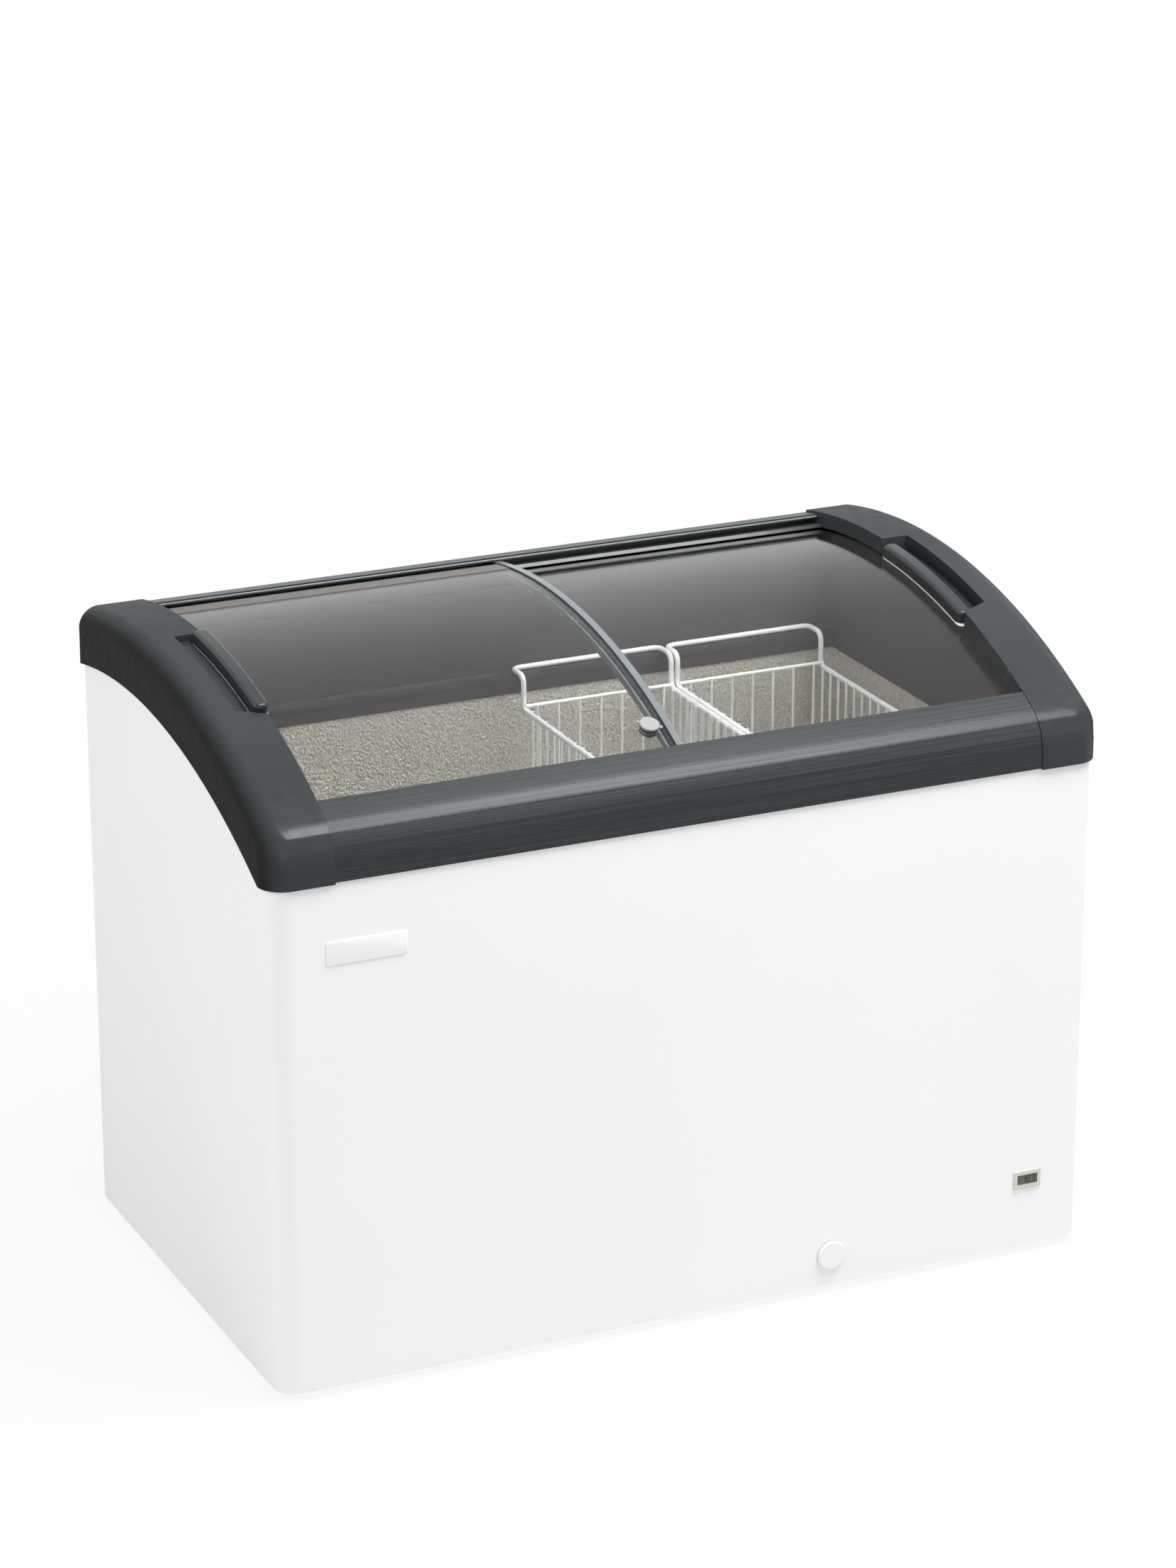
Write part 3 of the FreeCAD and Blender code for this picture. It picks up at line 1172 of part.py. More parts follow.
def make_cable_gland():
    """Bush where a lead would leave the compartment."""
    p = gland_place()
    inner = p - Vector(0, GRILLE_SHEET + GLAND_TAIL, 0)
    outer = p + Vector(0, GLAND_DEPTH, 0)
    bush = cylinder(GLAND_NECK, inner, outer).fuse(Part.makeCone(
        GLAND_DIAMETER / 2, GLAND_DIAMETER / 2 - GLAND_TAPER, GLAND_DEPTH, p, Vector(0, 1, 0)))
    bush = bush.fuse(cylinder(GLAND_DIAMETER, inner, p - Vector(0, GRILLE_SHEET, 0)))
    past = Vector(0, OVERCUT, 0)
    return bush.cut(cylinder(GLAND_BORE, inner - past, outer + past)).removeSplitter()


def lids():
    """All pieces of both lids, by name."""
    pieces = {}
    for side, top, rise in (("left", UPPER_TOP, 0), ("right", LOWER_TOP, INTERLOCK_RISE)):
        made = {
            "glass": make_lid_glass(top),
            "front_runner": make_runner(top, True),
            "rear_runner": make_runner(top, False),
            "edge_strip": make_edge_strip(top, rise),
            "handle": make_handle(top),
            "handle_pad": make_handle_pad(top),
        }
        for name, shape in made.items():
            pieces[side + "_lid_" + name] = mirrored(shape) if side == "left" else shape
    pieces["left_lid_glass"] = pieces["left_lid_glass"].cut(lock_hole())
    return pieces


def assembly():
    """Every node of the freezer, by name."""
    nodes = {
        "outer_shell": make_outer_shell(),
        "back_panel": make_back_panel(),
        "base_pan": make_base_pan(),
        "glide_feet": make_glide_feet(),
        "insulation_foam": make_insulation_foam(),
        "inner_liner": make_inner_liner(),
        "liner_collar": make_liner_collar(),
        "left_end_cap": mirrored(make_end_cap(UPPER_TOP)),
        "right_end_cap": make_end_cap(LOWER_TOP),
        "front_rail": make_front_rail(),
        "rear_rail": make_rear_rail(),
        "rear_track": make_rear_track(),
        "lock_barrel": make_lock_barrel(),
        "lock_plunger": make_lock_plunger(),
        "left_basket": make_basket(BASKET_START),
        "right_basket": make_basket(BASKET_START + BASKET_WIDTH + BASKET_GAP),
        "machine_hood": make_machine_hood(),
        "evaporator_coil": make_evaporator_coil(),
        "condenser_coil": make_condenser_coil(),
        "compressor": make_compressor(),
        "compressor_mounts": make_compressor_mounts(),
        "relay_box": make_relay_box(),
        "suction_pipe": make_suction_pipe(),
        "discharge_pipe": make_discharge_pipe(),
        "filter_drier": make_filter_drier(),
        "capillary_tube": make_capillary_tube(),
        "drain_pipe": make_drain_pipe(),
        "drain_cap": make_drain_cap(),
        "drain_seal": make_drain_seal(),
        "gauge_housing": make_gauge_housing(),
        "gauge_display": make_gauge_display(),
        "badge_plate": make_badge_plate(),
        "rear_grille": make_rear_grille(),
        "thermostat_body": make_thermostat_body(),
        "thermostat_knob": make_thermostat_knob(),
        "cable_gland": make_cable_gland(),
    }
    nodes.update(lids())
    return nodes


def main():
    os.makedirs("parts", exist_ok=True)
    for name, shape in assembly().items():
        shape.exportStep("parts/" + name + ".step")
        print(name, "solids", len(shape.Solids), "valid", shape.isValid(), "volume", round(shape.Volume))


main()
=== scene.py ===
import json
import math
import bmesh
import bpy
from mathutils import Matrix, Vector


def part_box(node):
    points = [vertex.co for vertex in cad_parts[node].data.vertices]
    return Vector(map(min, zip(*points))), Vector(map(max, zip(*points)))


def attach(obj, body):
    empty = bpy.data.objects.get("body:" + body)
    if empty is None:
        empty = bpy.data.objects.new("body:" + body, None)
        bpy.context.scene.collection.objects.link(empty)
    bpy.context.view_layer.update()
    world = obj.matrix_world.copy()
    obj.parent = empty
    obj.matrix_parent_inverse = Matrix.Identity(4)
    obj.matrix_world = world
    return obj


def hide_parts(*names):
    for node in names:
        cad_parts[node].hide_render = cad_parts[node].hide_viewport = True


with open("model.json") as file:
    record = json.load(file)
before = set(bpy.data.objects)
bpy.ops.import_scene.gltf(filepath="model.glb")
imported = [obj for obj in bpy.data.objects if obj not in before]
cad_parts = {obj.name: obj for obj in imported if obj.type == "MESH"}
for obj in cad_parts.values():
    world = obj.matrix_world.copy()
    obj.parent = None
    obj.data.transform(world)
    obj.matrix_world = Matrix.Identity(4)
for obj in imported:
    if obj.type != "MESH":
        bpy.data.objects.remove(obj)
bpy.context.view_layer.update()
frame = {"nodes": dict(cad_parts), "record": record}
nodes = frame["nodes"]
MM = 0.001

# Camera: the photograph's viewing angle
CAMERA_AZIMUTH = -24.81
CAMERA_PITCH = 19.83
CAMERA_DISTANCE = 6.526
CAMERA_TARGET = Vector((0, 0, 0.659))
CAMERA_LENS = 109.43
CAMERA_SENSOR = 36

# Studio: each lamp's place, target, size across and power, then the surroundings and the floor
LAMPS = {
    "key_light": ((-0.8, -4.2, 2.2), (0, 0, 0.5), 3.0, 12),
    "top_light": ((0.9, -0.95, 3.2), (0, -0.1, 0.8), 1.8, 104),
    "side_light": ((-3.3, -0.5, 2.0), (0, 0, 0.5), 2.6, 36),
}
WHITE = (1, 1, 1, 1)
ROOM_LIGHT = 0.62
FLOOR_SIZE = 40.0
FLOOR_GREY = (0.58, 0.58, 0.58, 1)
FLOOR_ROUGHNESS = 0.9
FLOOR_GLOW = 0.90
SHADOW_START = 0.7
SHADOW_END = 2.2

# Canopy: the lids, rails and caps lie on circles about this axis along X
CANOPY_Y = 148 * MM
CANOPY_Z = -67 * MM
CAP_TOP = 980 * MM
RAIL_TOP = 979.25 * MM
GLASS_TOP = 969 * MM
GLASS_UNDER = 965 * MM

# Outer edges of the caps and the front rail: rounding of the solids and the wider one that shows
SOLID_FRONT = 12 * MM
SOLID_SIDE = 25 * MM
SHOWN_FRONT = 29 * MM
SHOWN_SIDE = 29 * MM
FRONT_CUT = 1.16 * SHOWN_FRONT
CAP_WALL = 5 * MM
CAP_CORNER = 35 * MM

# Copies of the caps and the rail: points that are one, cuts, and the faces that make up a cap's outer side
SAME_POINT = 0.01 * MM
CUT_SNAP = 0.001 * MM
ON_FLANK = 0.1 * MM
FLAT_FLANK = 0.9999

# Skin of the caps and the rail: how deep it goes, where its outer face ends and its inner face comes to lie
SKIN = 8 * MM
OUTER_SKIN = 0.65 * CAP_WALL
INNER_SKIN = 0.92 * CAP_WALL
SKIN_STEPS = 8

# Shading of that skin: how near and how squarely a face lies on it, and which faces are smoothed together
ON_SKIN = 0.8 * MM
SQUARE_ON = 0.8
SMOOTHED = 0.85

# Where the end caps turn matt: in X towards the outer side, which also gets painted shade, in Y from the
# worn front to the rear
MATT_AND_SHADE_SIDE = (0.582, 0.602)
MATT_REAR = (-0.24, 0.10)

# Wire baskets: wires, bends, counts, the hangers' place in the node's box and the depth of the welds
HANGER_RADIUS = 4.0 * MM
RIM_RADIUS = 3.0 * MM
RIB_RADIUS = 2.0 * MM
WIRE_BEND = 12 * MM
RIB_BEND = 7 * MM
BEND_LEAD = 1.3
BEND_PULL = 0.45
SIDE_RIBS = 20
END_RIBS = 7
WIRE_INSET = 3.8 * MM
HANGER_TOP = 4.4 * MM
HANGER_HEIGHT = 49 * MM
HANGER_REACH = 40 * MM
RIM_WELD = 0.5 * MM
CROSS_WELD = 0.3 * MM
WIRE_SHARP = 40

# Temperature gauge: the bars that are lit for each sign, the digits' sizes and the bezel's
BARS = {"-": "g", "1": "bc", "8": "abcdefg", "3": "abcdg"}
READING = "-18.3"
DIGIT_WIDTH = 4.2 * MM
DIGIT_TALL = 9.6 * MM
DIGIT_START = 4.2 * MM
DIGIT_GAP = 2.4 * MM
DOT_BACK = 0.6 * MM
DOT_ROOM = 1.6 * MM
BAR_WIDTH = 1.1 * MM
BAR_GAP = 0.3 * MM
BAR_DEPTH = 0.12 * MM
BAR_CLEAR = 0.05 * MM
BEZEL_OUT = 0.4 * MM
BEZEL_CLEAR = 0.02 * MM
BEZEL_PROUD = 0.1 * MM
BEZEL_CORNER = 3 * MM
BEZEL_EDGE = 0.9 * MM
BEZEL_SHARP = 0.5

# Badge plate
BADGE_CORNER = 4 * MM
BADGE_EDGE = 0.6 * MM

# Rivets: profile from middle to rim, radius and height, and places on the rear sheet and grille
RIVET_PROFILE = [(0, 0.55), (0.26, 0.6), (0.3, 0.95), (0.42, 1.0), (0.72, 0.8), (0.93, 0.4), (1.0, 0.0)]
SHEET_RIVET = (4.2 * MM, 1.5 * MM)
GRILLE_RIVET = (3.4 * MM, 1.2 * MM)
SIDE_ROW = 12 * MM
SIDE_ROW_FOOT = 60 * MM
SIDE_ROW_HEAD = 80 * MM
SIDE_RIVETS = 6
TOP_ROW = 60 * MM
TOP_ROW_INSET = 130 * MM
TOP_RIVETS = 5
GRILLE_EDGE = 6 * MM
GRILLE_RIVETS = 3
RIVET_STEPS = 20
RIVET_MERGE = 0.002 * MM

# Trim on the upper lid: across from its edge strip, in height from the glass and along in Y
TRIM_RUN = (-284 * MM, 298 * MM)
TRIM_STEPS = 48
BEAD_ACROSS = (-1.9 * MM, 0.2 * MM)
BEAD_HEIGHT = (0.05 * MM, 1.1 * MM)
BEAD_EASE = 0.4 * MM
LIP_ACROSS = (-2.4 * MM, 2.0 * MM)
LIP_HEIGHT = (-6.5 * MM, -1.3 * MM)
LIP_EASE = 1.2 * MM
BAND_LEFT = -510 * MM
BAND_CLEAR = 3.0 * MM
BAND_HEIGHT = (0.05 * MM, 0.45 * MM)
BAND_RUN = (254 * MM, 296 * MM)
BAND_EASE = 0.15 * MM

# Bead on the rear rail's lip, paler than the rail as a painted highlight: depth, distance from the canopy's
# axis, radius and room at its ends
RAIL_BEAD_Y = 314 * MM
RAIL_BEAD_OUT = 973.6 * MM
RAIL_BEAD_RADIUS = 1.7 * MM
RAIL_BEAD_ROOM = 1 * MM


def tone(red, green, blue):
    """A colour as seen on a screen, 0 to 255, turned into linear light."""
    linear = []
    for part in (red, green, blue):
        c = part / 255
        linear.append(c / 12.92 if c <= 0.04045 else ((c + 0.055) / 1.055) ** 2.4)
    return (*linear, 1.0)


def new_node(tree, kind, values):
    """A shader node with some of its inputs set."""
    node = tree.nodes.new(kind)
    for socket, value in values.items():
        node.inputs[socket].default_value = value
    return node


def combine(tree, operation, first, second):
    """Two values put together by a math node."""
    node = tree.nodes.new("ShaderNodeMath")
    node.operation = operation
    tree.links.new(first, node.inputs[0])
    tree.links.new(second, node.inputs[1])
    return node.outputs[0]


class Finish:
    """A node material built up from a principled shader."""

    def __init__(self, name, colour, roughness, metallic=0.0):
        self.material = bpy.data.materials.new(name)
        self.material.use_nodes = True
        self.tree = self.material.node_tree
        self.shader = self.tree.nodes["Principled BSDF"]
        self.put("Base Color", colour)
        self.put("Roughness", roughness)
        self.put("Metallic", metallic)

    def put(self, socket, value):
        """Set one value all over the surface."""
        self.shader.inputs[socket].default_value = value

    def feed(self, socket, pattern):
        """Let a pattern give the shader's value."""
        self.tree.links.new(pattern, self.shader.inputs[socket])

    def place(self, stretch=(1, 1, 1)):
        """Object coordinates, stretched along the axes."""
        where = self.tree.nodes.new("ShaderNodeTexCoord")
        mapping = new_node(self.tree, "ShaderNodeMapping", {"Scale": stretch})
        self.tree.links.new(where.outputs["Object"], mapping.inputs["Vector"])
        return mapping.outputs["Vector"]

    def along(self, axis):
        """Place along X, Y or Z."""
        parts = self.tree.nodes.new("ShaderNodeSeparateXYZ")
        self.tree.links.new(self.place(), parts.inputs["Vector"])
        return parts.outputs[axis]

    def noise(self, scale, detail=2.0, stretch=(1, 1, 1)):
        """Soft irregular pattern between 0 and 1."""
        texture = new_node(self.tree, "ShaderNodeTexNoise", {"Scale": scale, "Detail": detail})
        self.tree.links.new(self.place(stretch), texture.inputs["Vector"])
        return texture.outputs["Fac"]

    def cells(self, scale):
        """Closely packed bubbles."""
        texture = new_node(self.tree, "ShaderNodeTexVoronoi", {"Scale": scale})
        texture.feature = "SMOOTH_F1"
        self.tree.links.new(self.place(), texture.inputs["Vector"])
        return texture.outputs["Distance"]

    def spread(self, pattern, low, high, start=0.3, end=0.7):
        """Numbers between low and high as the pattern goes from start to end."""
        limits = {"From Min": start, "From Max": end, "To Min": low, "To Max": high}
        node = new_node(self.tree, "ShaderNodeMapRange", limits)
        self.tree.links.new(pattern, node.inputs["Value"])
        return node.outputs["Result"]

    def colours(self, pattern, low, high, start=0.3, end=0.7):
        """Colours between low and high as the pattern goes from start to end."""
        ramp = self.tree.nodes.new("ShaderNodeValToRGB")
        ramp.color_ramp.elements[0].position = start
        ramp.color_ramp.elements[0].color = low
        ramp.color_ramp.elements[1].position = end
        ramp.color_ramp.elements[1].color = high
        self.tree.links.new(pattern, ramp.inputs["Fac"])
        self.feed("Base Color", ramp.outputs["Color"])

    def roughen(self, pattern, low, high):
        """Roughness between low and high."""
        self.feed("Roughness", self.spread(pattern, low, high))

    def bump(self, pattern, strength, distance):
        """Relief that follows the pattern."""
        node = new_node(self.tree, "ShaderNodeBump", {"Strength": strength, "Distance": distance})
        self.tree.links.new(pattern, node.inputs["Height"])
        self.feed("Normal", node.outputs["Normal"])


def white_enamel():
    """Stove-enamelled sheet with a faint orange peel."""
    f = Finish("white_enamel", tone(240, 240, 240), 0.34)
    f.colours(f.noise(2.5), tone(239, 239, 239), tone(241, 241, 241))
    f.roughen(f.noise(9.0), 0.30, 0.40)
    f.bump(f.noise(420.0, detail=1.0), strength=0.05, distance=0.4 * MM)
    return f.material


def grip_plastic():
    """Dark slate moulding, polished by hands."""
    f = Finish("slate_grip", tone(45, 49, 51), 0.15)
    f.colours(f.noise(9.0, detail=3.0), tone(43, 47, 49), tone(48, 52, 54))
    f.roughen(f.noise(30.0), 0.12, 0.20)
    f.put("Specular IOR Level", 0.28)
    return f.material


def end_cap_plastic():
    """Slate-grey moulding, grained and matt on its outer sides, with painted shade darkening them, and worn
    smooth towards the front.
    """
    f = Finish("slate_moulding", tone(46, 51, 54), 0.27)
    inner, outer = MATT_AND_SHADE_SIDE
    left = f.spread(f.along("X"), 0.6, 0.0, -outer, -inner)
    right = f.spread(f.along("X"), 0.0, 0.6, inner, outer)
    sides = combine(f.tree, "MAXIMUM", left, right)
    # Painted shade: towards the outer sides the colour drops to the near-black low end of the ramp.
    shade = combine(f.tree, "SUBTRACT", f.spread(f.noise(9.0, detail=3.0), 0.56, 0.64), sides)
    f.colours(shade, tone(14, 15, 15), tone(56, 62, 65), start=0.0, end=1.0)
    satin = f.spread(f.noise(60.0, detail=3.0), 0.22, 0.31)
    rear = f.spread(f.along("Y"), 0.0, 0.36, *MATT_REAR)
    matt = combine(f.tree, "MAXIMUM", sides, rear)
    f.feed("Roughness", combine(f.tree, "ADD", satin, matt))
    f.bump(f.noise(450.0), strength=0.015, distance=0.1 * MM)
    f.put("Specular IOR Level", 0.25)
    return f.material


def slate_extrusion():
    """Slate-grey rail with fine drawn lines along its length."""
    f = Finish("slate_extrusion", tone(43, 47, 49), 0.36)
    lines = f.noise(420.0, detail=5.0, stretch=(0.006, 1.0, 1.0))
    f.colours(lines, tone(31, 35, 37), tone(46, 51, 53), start=0.35, end=0.65)
    f.roughen(f.noise(300.0, detail=4.0, stretch=(0.006, 1.0, 1.0)), 0.31, 0.42)
    f.bump(f.noise(900.0, detail=3.0, stretch=(0.004, 1.0, 1.0)), strength=0.6, distance=0.3 * MM)
    f.put("Specular IOR Level", 0.30)
    return f.material


def collar_moulding():
    """Smooth dark grey collar moulding with a warm tint."""
    f = Finish("collar_moulding", tone(77, 72, 74), 0.42)
    f.colours(f.noise(5.0), tone(74, 69, 71), tone(80, 75, 77))
    f.roughen(f.noise(20.0), 0.38, 0.46)
    f.put("Specular IOR Level", 0.3)
    return f.material


def stucco_aluminium():
    """Aluminium sheet with a rolled-in stucco pattern, its colour painted darker in the pattern's hollows.
    """
    f = Finish("stucco_aluminium", tone(211, 206, 197), 0.38, metallic=0.25)
    grain = f.noise(330.0, stretch=(1.0, 1.0, 0.8))
    # Colour and relief share one pattern, so the hollows are darker: random tone and painted shade
    # together.
    f.colours(grain, tone(200, 195, 187), tone(225, 220, 211), start=0.36, end=0.64)
    f.roughen(f.noise(40.0, detail=3.0), 0.32, 0.46)
    f.bump(grain, strength=1.0, distance=4.0 * MM)
    return f.material


def plain_metal(name, colour, roughness):
    """Drawn or rolled metal with a light grain."""
    f = Finish(name, colour, roughness, metallic=1.0)
    drawn = f.noise(120.0, detail=3.0, stretch=(0.05, 1.0, 1.0))
    f.roughen(drawn, roughness - 0.06, roughness + 0.08)
    f.bump(f.noise(600.0), strength=0.05, distance=0.1 * MM)
    return f.material


def plain_plastic(name, colour, roughness):
    """Moulded plastic or rubber with a fine grain."""
    f = Finish(name, colour, roughness)
    f.roughen(f.noise(80.0, detail=3.0), roughness - 0.05, roughness + 0.05)
    f.bump(f.noise(900.0), strength=0.08, distance=0.1 * MM)
    return f.material


def clear_pane():
    """Clear float glass with the faint waves of its making."""
    f = Finish("clear_pane", tone(246, 248, 247), 0.0)
    f.put("Transmission Weight", 1.0)
    f.put("IOR", 1.21)
    f.roughen(f.noise(6.0), 0.0, 0.02)
    f.bump(f.noise(2.0, detail=1.0), strength=0.02, distance=1.0 * MM)
    return f.material


def edge_moulding():
    """Smooth blue-grey strip, drawn along its length."""
    f = Finish("edge_moulding", tone(112, 119, 122), 0.22)
    drawn = f.noise(700.0, stretch=(1.0, 0.01, 0.01))
    f.colours(drawn, tone(104, 111, 114), tone(120, 127, 130))
    f.roughen(f.noise(50.0), 0.18, 0.28)
    return f.material


def rear_band():
    """Matt warm-grey band laid on the glass."""
    f = Finish("rear_band", tone(104, 102, 99), 0.55)
    f.colours(f.noise(40.0), tone(101, 99, 96), tone(107, 105, 102))
    f.roughen(f.noise(60.0), 0.5, 0.62)
    f.put("Specular IOR Level", 0.25)
    return f.material


def badge_enamel():
    """Smooth enamel of the blank plate."""
    f = Finish("badge_white", tone(241, 241, 240), 0.3)
    f.colours(f.noise(6.0), tone(240, 240, 239), tone(242, 242, 241))
    f.roughen(f.noise(14.0), 0.28, 0.33)
    return f.material


def rigid_foam():
    """Cut face of blown foam."""
    f = Finish("rigid_foam", tone(228, 208, 150), 0.9)
    f.colours(f.noise(60.0, detail=4.0), tone(218, 196, 138), tone(234, 216, 164))
    f.bump(f.cells(500.0), strength=0.3, distance=0.4 * MM)
    return f.material


finishes = {
    "white_sheet": white_enamel(),
    "slate_plastic": end_cap_plastic(),
    "handle_plastic": grip_plastic(),
    "slate_rail": slate_extrusion(),
    "collar_plastic": collar_moulding(),
    "liner_aluminium": stucco_aluminium(),
    "track_aluminium": plain_metal("bright_track", tone(205, 206, 206), 0.28),
    "zinc_sheet": plain_metal("zinc_sheet", tone(170, 173, 176), 0.42),
    "lid_glass": clear_pane(),
    "edge_plastic": edge_moulding(),
    "runner_plastic": plain_plastic("runner_black", tone(30, 31, 33), 0.45),
    "pad_white": plain_plastic("pad_white", tone(232, 233, 233), 0.5),
    "lock_chrome": plain_metal("lock_metal", tone(205, 206, 208), 0.22),
    "lock_grey": plain_plastic("lock_grey", tone(150, 150, 149), 0.38),
    "basket_white": plain_plastic("coated_wire", tone(243, 243, 241), 0.30),
    "copper": plain_metal("copper_tube", tone(190, 118, 84), 0.35),
    "steel_tube": plain_plastic("coated_tube", tone(45, 46, 48), 0.5),
    "compressor_black": plain_plastic("compressor_enamel", tone(24, 24, 25), 0.35),
    "rubber_black": plain_plastic("rubber_black", tone(24, 24, 24), 0.8),
    "black_plastic": plain_plastic("black_moulding", tone(34, 35, 36), 0.5),
    "white_plastic": plain_plastic("white_moulding", tone(238, 238, 236), 0.36),
    "gauge_grey": plain_plastic("bezel_grey", tone(203, 203, 194), 0.4),
    "display_glass": plain_plastic("display_face", tone(88, 92, 82), 0.25),
    "badge_white": badge_enamel(),
    "foam": rigid_foam(),
    "rear_band": rear_band(),
}

for part in frame["record"]["subparts"]:
    mesh = nodes[part["node"]].data
    mesh.materials.clear()
    mesh.materials.append(finishes[part["material_slot"]])


def finished(name, mesh, body, slot, finish=None):
    """A piece at the origin that rides on a body and takes its slot's finish or one of its own."""
    piece = bpy.data.objects.new(name, mesh)
    bpy.context.scene.collection.objects.link(piece)
    mesh.materials.clear()
    mesh.materials.append(finishes[finish or slot])
    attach(piece, body)
    return piece


def as_mesh(name, work):
    """A bmesh written out as a mesh."""
    mesh = bpy.data.meshes.new(name)
    work.to_mesh(mesh)
    work.free()
    return mesh


def laid_mesh(name, work, sharp=35):
    """A bmesh as a mesh with outward faces, smooth but for edges sharper than an angle in degrees."""
    bmesh.ops.recalc_face_normals(work, faces=work.faces)
    for face in work.faces:
        face.smooth = True
    mesh = as_mesh(name, work)
    mesh.set_sharp_from_angle(angle=math.radians(sharp))
    return mesh


def everything(work):
    """All vertices, edges and faces of a bmesh."""
    return list(work.verts) + list(work.edges) + list(work.faces)


def drawn_out(work, faces, way):
    """Draw faces out into a solid, and give what was drawn."""
    grown = bmesh.ops.extrude_face_region(work, geom=list(faces))["geom"]
    far = [item for item in grown if isinstance(item, bmesh.types.BMVert)]
    bmesh.ops.translate(work, vec=way, verts=far)
    return grown


def rounded(work, parts, offset, segments, affect="EDGES"):
    """Round off edges, or the corners of a flat face."""
    bmesh.ops.bevel(work, geom=parts, affect=affect, offset=offset, segments=segments, profile=0.5,
                    material=-1)


def upright_face(work, low, high, y, out=0):
    """Flat face at depth y between two corners in X and Z, or a little larger."""
    left = low.x - out
    right = high.x + out
    foot = low.z - out
    head = high.z + out
    corners = [(left, foot), (right, foot), (right, head), (left, head)]
    return work.faces.new([work.verts.new((x, y, z)) for x, z in corners])


def wire_mesh(runs, radius, bend):
    """Round wires along straight runs with eased bends. A run that ends where it starts is closed."""
    curve = bpy.data.curves.new("wire_run", "CURVE")
    curve.dimensions = "3D"
    curve.bevel_depth = radius
    curve.bevel_resolution = 3
    curve.resolution_u = 5
    curve.use_fill_caps = True
    for run in runs:
        closed = run[0] == run[-1]
        corners = [Vector(corner) for corner in (run[:-1] if closed else run)]
        count = len(corners)
        knots = []
        for i, corner in enumerate(corners):
            if not closed and i in (0, count - 1):
                knots.append((corner, corner, corner))
                continue
            back = (corners[i - 1] - corner).normalized() * bend
            ahead = (corners[(i + 1) % count] - corner).normalized() * bend
            knots.append((corner + back, corner + back * BEND_LEAD, corner + back * BEND_PULL))
            knots.append((corner + ahead, corner + ahead * BEND_PULL, corner + ahead * BEND_LEAD))
        spline = curve.splines.new("BEZIER")
        spline.bezier_points.add(len(knots) - 1)
        spline.use_cyclic_u = closed
        for point, (place, left, right) in zip(spline.bezier_points, knots):
            point.handle_left_type = "FREE"
            point.handle_right_type = "FREE"
            point.co = place
            point.handle_left = left
            point.handle_right = right
    holder = bpy.data.objects.new("wire_holder", curve)
    mesh = bpy.data.meshes.new_from_object(holder)
    bpy.data.objects.remove(holder)
    bpy.data.curves.remove(curve)
    return mesh


def joined(name, meshes):
    """Several wire meshes as one."""
    work = bmesh.new()
    for mesh in meshes:
        work.from_mesh(mesh)
        bpy.data.meshes.remove(mesh)
    return laid_mesh(name, work, WIRE_SHARP)


def wire_basket(node, body):
    """Coated wire basket: hangers and side rims from one bent wire, rims and ribs welded inside."""
    low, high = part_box(node)
    x0 = low.x + WIRE_INSET
    x1 = high.x - WIRE_INSET
    hang_y = high.y - WIRE_INSET
    hang_z = high.z - HANGER_TOP
    rim_z = hang_z - HANGER_HEIGHT
    leg_y = hang_y - HANGER_REACH
    rear = [(x1, leg_y, rim_z), (x1, leg_y, hang_z), (x1, hang_y, hang_z),
            (x0, hang_y, hang_z), (x0, leg_y, hang_z), (x0, leg_y, rim_z)]
    front = [(x, -y, z) for x, y, z in reversed(rear)]
    loop = rear + front
    hangers = wire_mesh([loop + loop[:1]], HANGER_RADIUS, WIRE_BEND)
    end_y = leg_y - WIRE_BEND / 2
    end_z = rim_z + WIRE_BEND / 2
    rims = wire_mesh([[(x0, y, end_z), (x1, y, end_z)] for y in (-end_y, end_y)], RIM_RADIUS, bend=0)
    floor_z = low.z + RIB_RADIUS
    inset = HANGER_RADIUS + RIB_RADIUS - RIM_WELD
    a = x0 + inset
    b = x1 - inset
    top = rim_z + RIB_RADIUS
    ribs = []
    for i in range(SIDE_RIBS):
        y = end_y * (2 * (i + 0.5) / SIDE_RIBS - 1)
        ribs.append([(a, y, top), (a, y, floor_z), (b, y, floor_z), (b, y, top)])
    deep = end_y - RIM_RADIUS - RIB_RADIUS + RIM_WELD
    over = floor_z + 2 * RIB_RADIUS - CROSS_WELD
    top = end_z + RIB_RADIUS
    for i in range(END_RIBS):
        x = x0 + (x1 - x0) * (i + 0.5) / END_RIBS
        ribs.append([(x, -deep, top), (x, -deep, over), (x, deep, over), (x, deep, top)])
    rib_wires = wire_mesh(ribs, RIB_RADIUS, RIB_BEND)
    mesh = joined(node + "_wires", [hangers, rims, rib_wires])
    piece = finished(node + "_wires", mesh, body, "basket_white")
    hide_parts(node)


def gauge_bar(work, middle, length, upright):
    """One flat pointed bar of a digit."""
    bar = bmesh.ops.create_circle(work, cap_ends=True, segments=6, radius=BAR_WIDTH / 2)
    reach = length / 2 - BAR_WIDTH / 2
    for vert in bar["verts"]:
        if abs(vert.co.x) > 1e-6:
            vert.co.x += math.copysign(reach, vert.co.x)
    turn = Matrix.Rotation(math.radians(90), 4, "X")
    if upright:
        turn = turn @ Matrix.Rotation(math.radians(90), 4, "Z")
    bmesh.ops.transform(work, matrix=Matrix.Translation(middle) @ turn, verts=bar["verts"])
    faces = {face for vert in bar["verts"] for face in vert.link_faces}
    drawn_out(work, faces, Vector((0, -BAR_DEPTH, 0)))


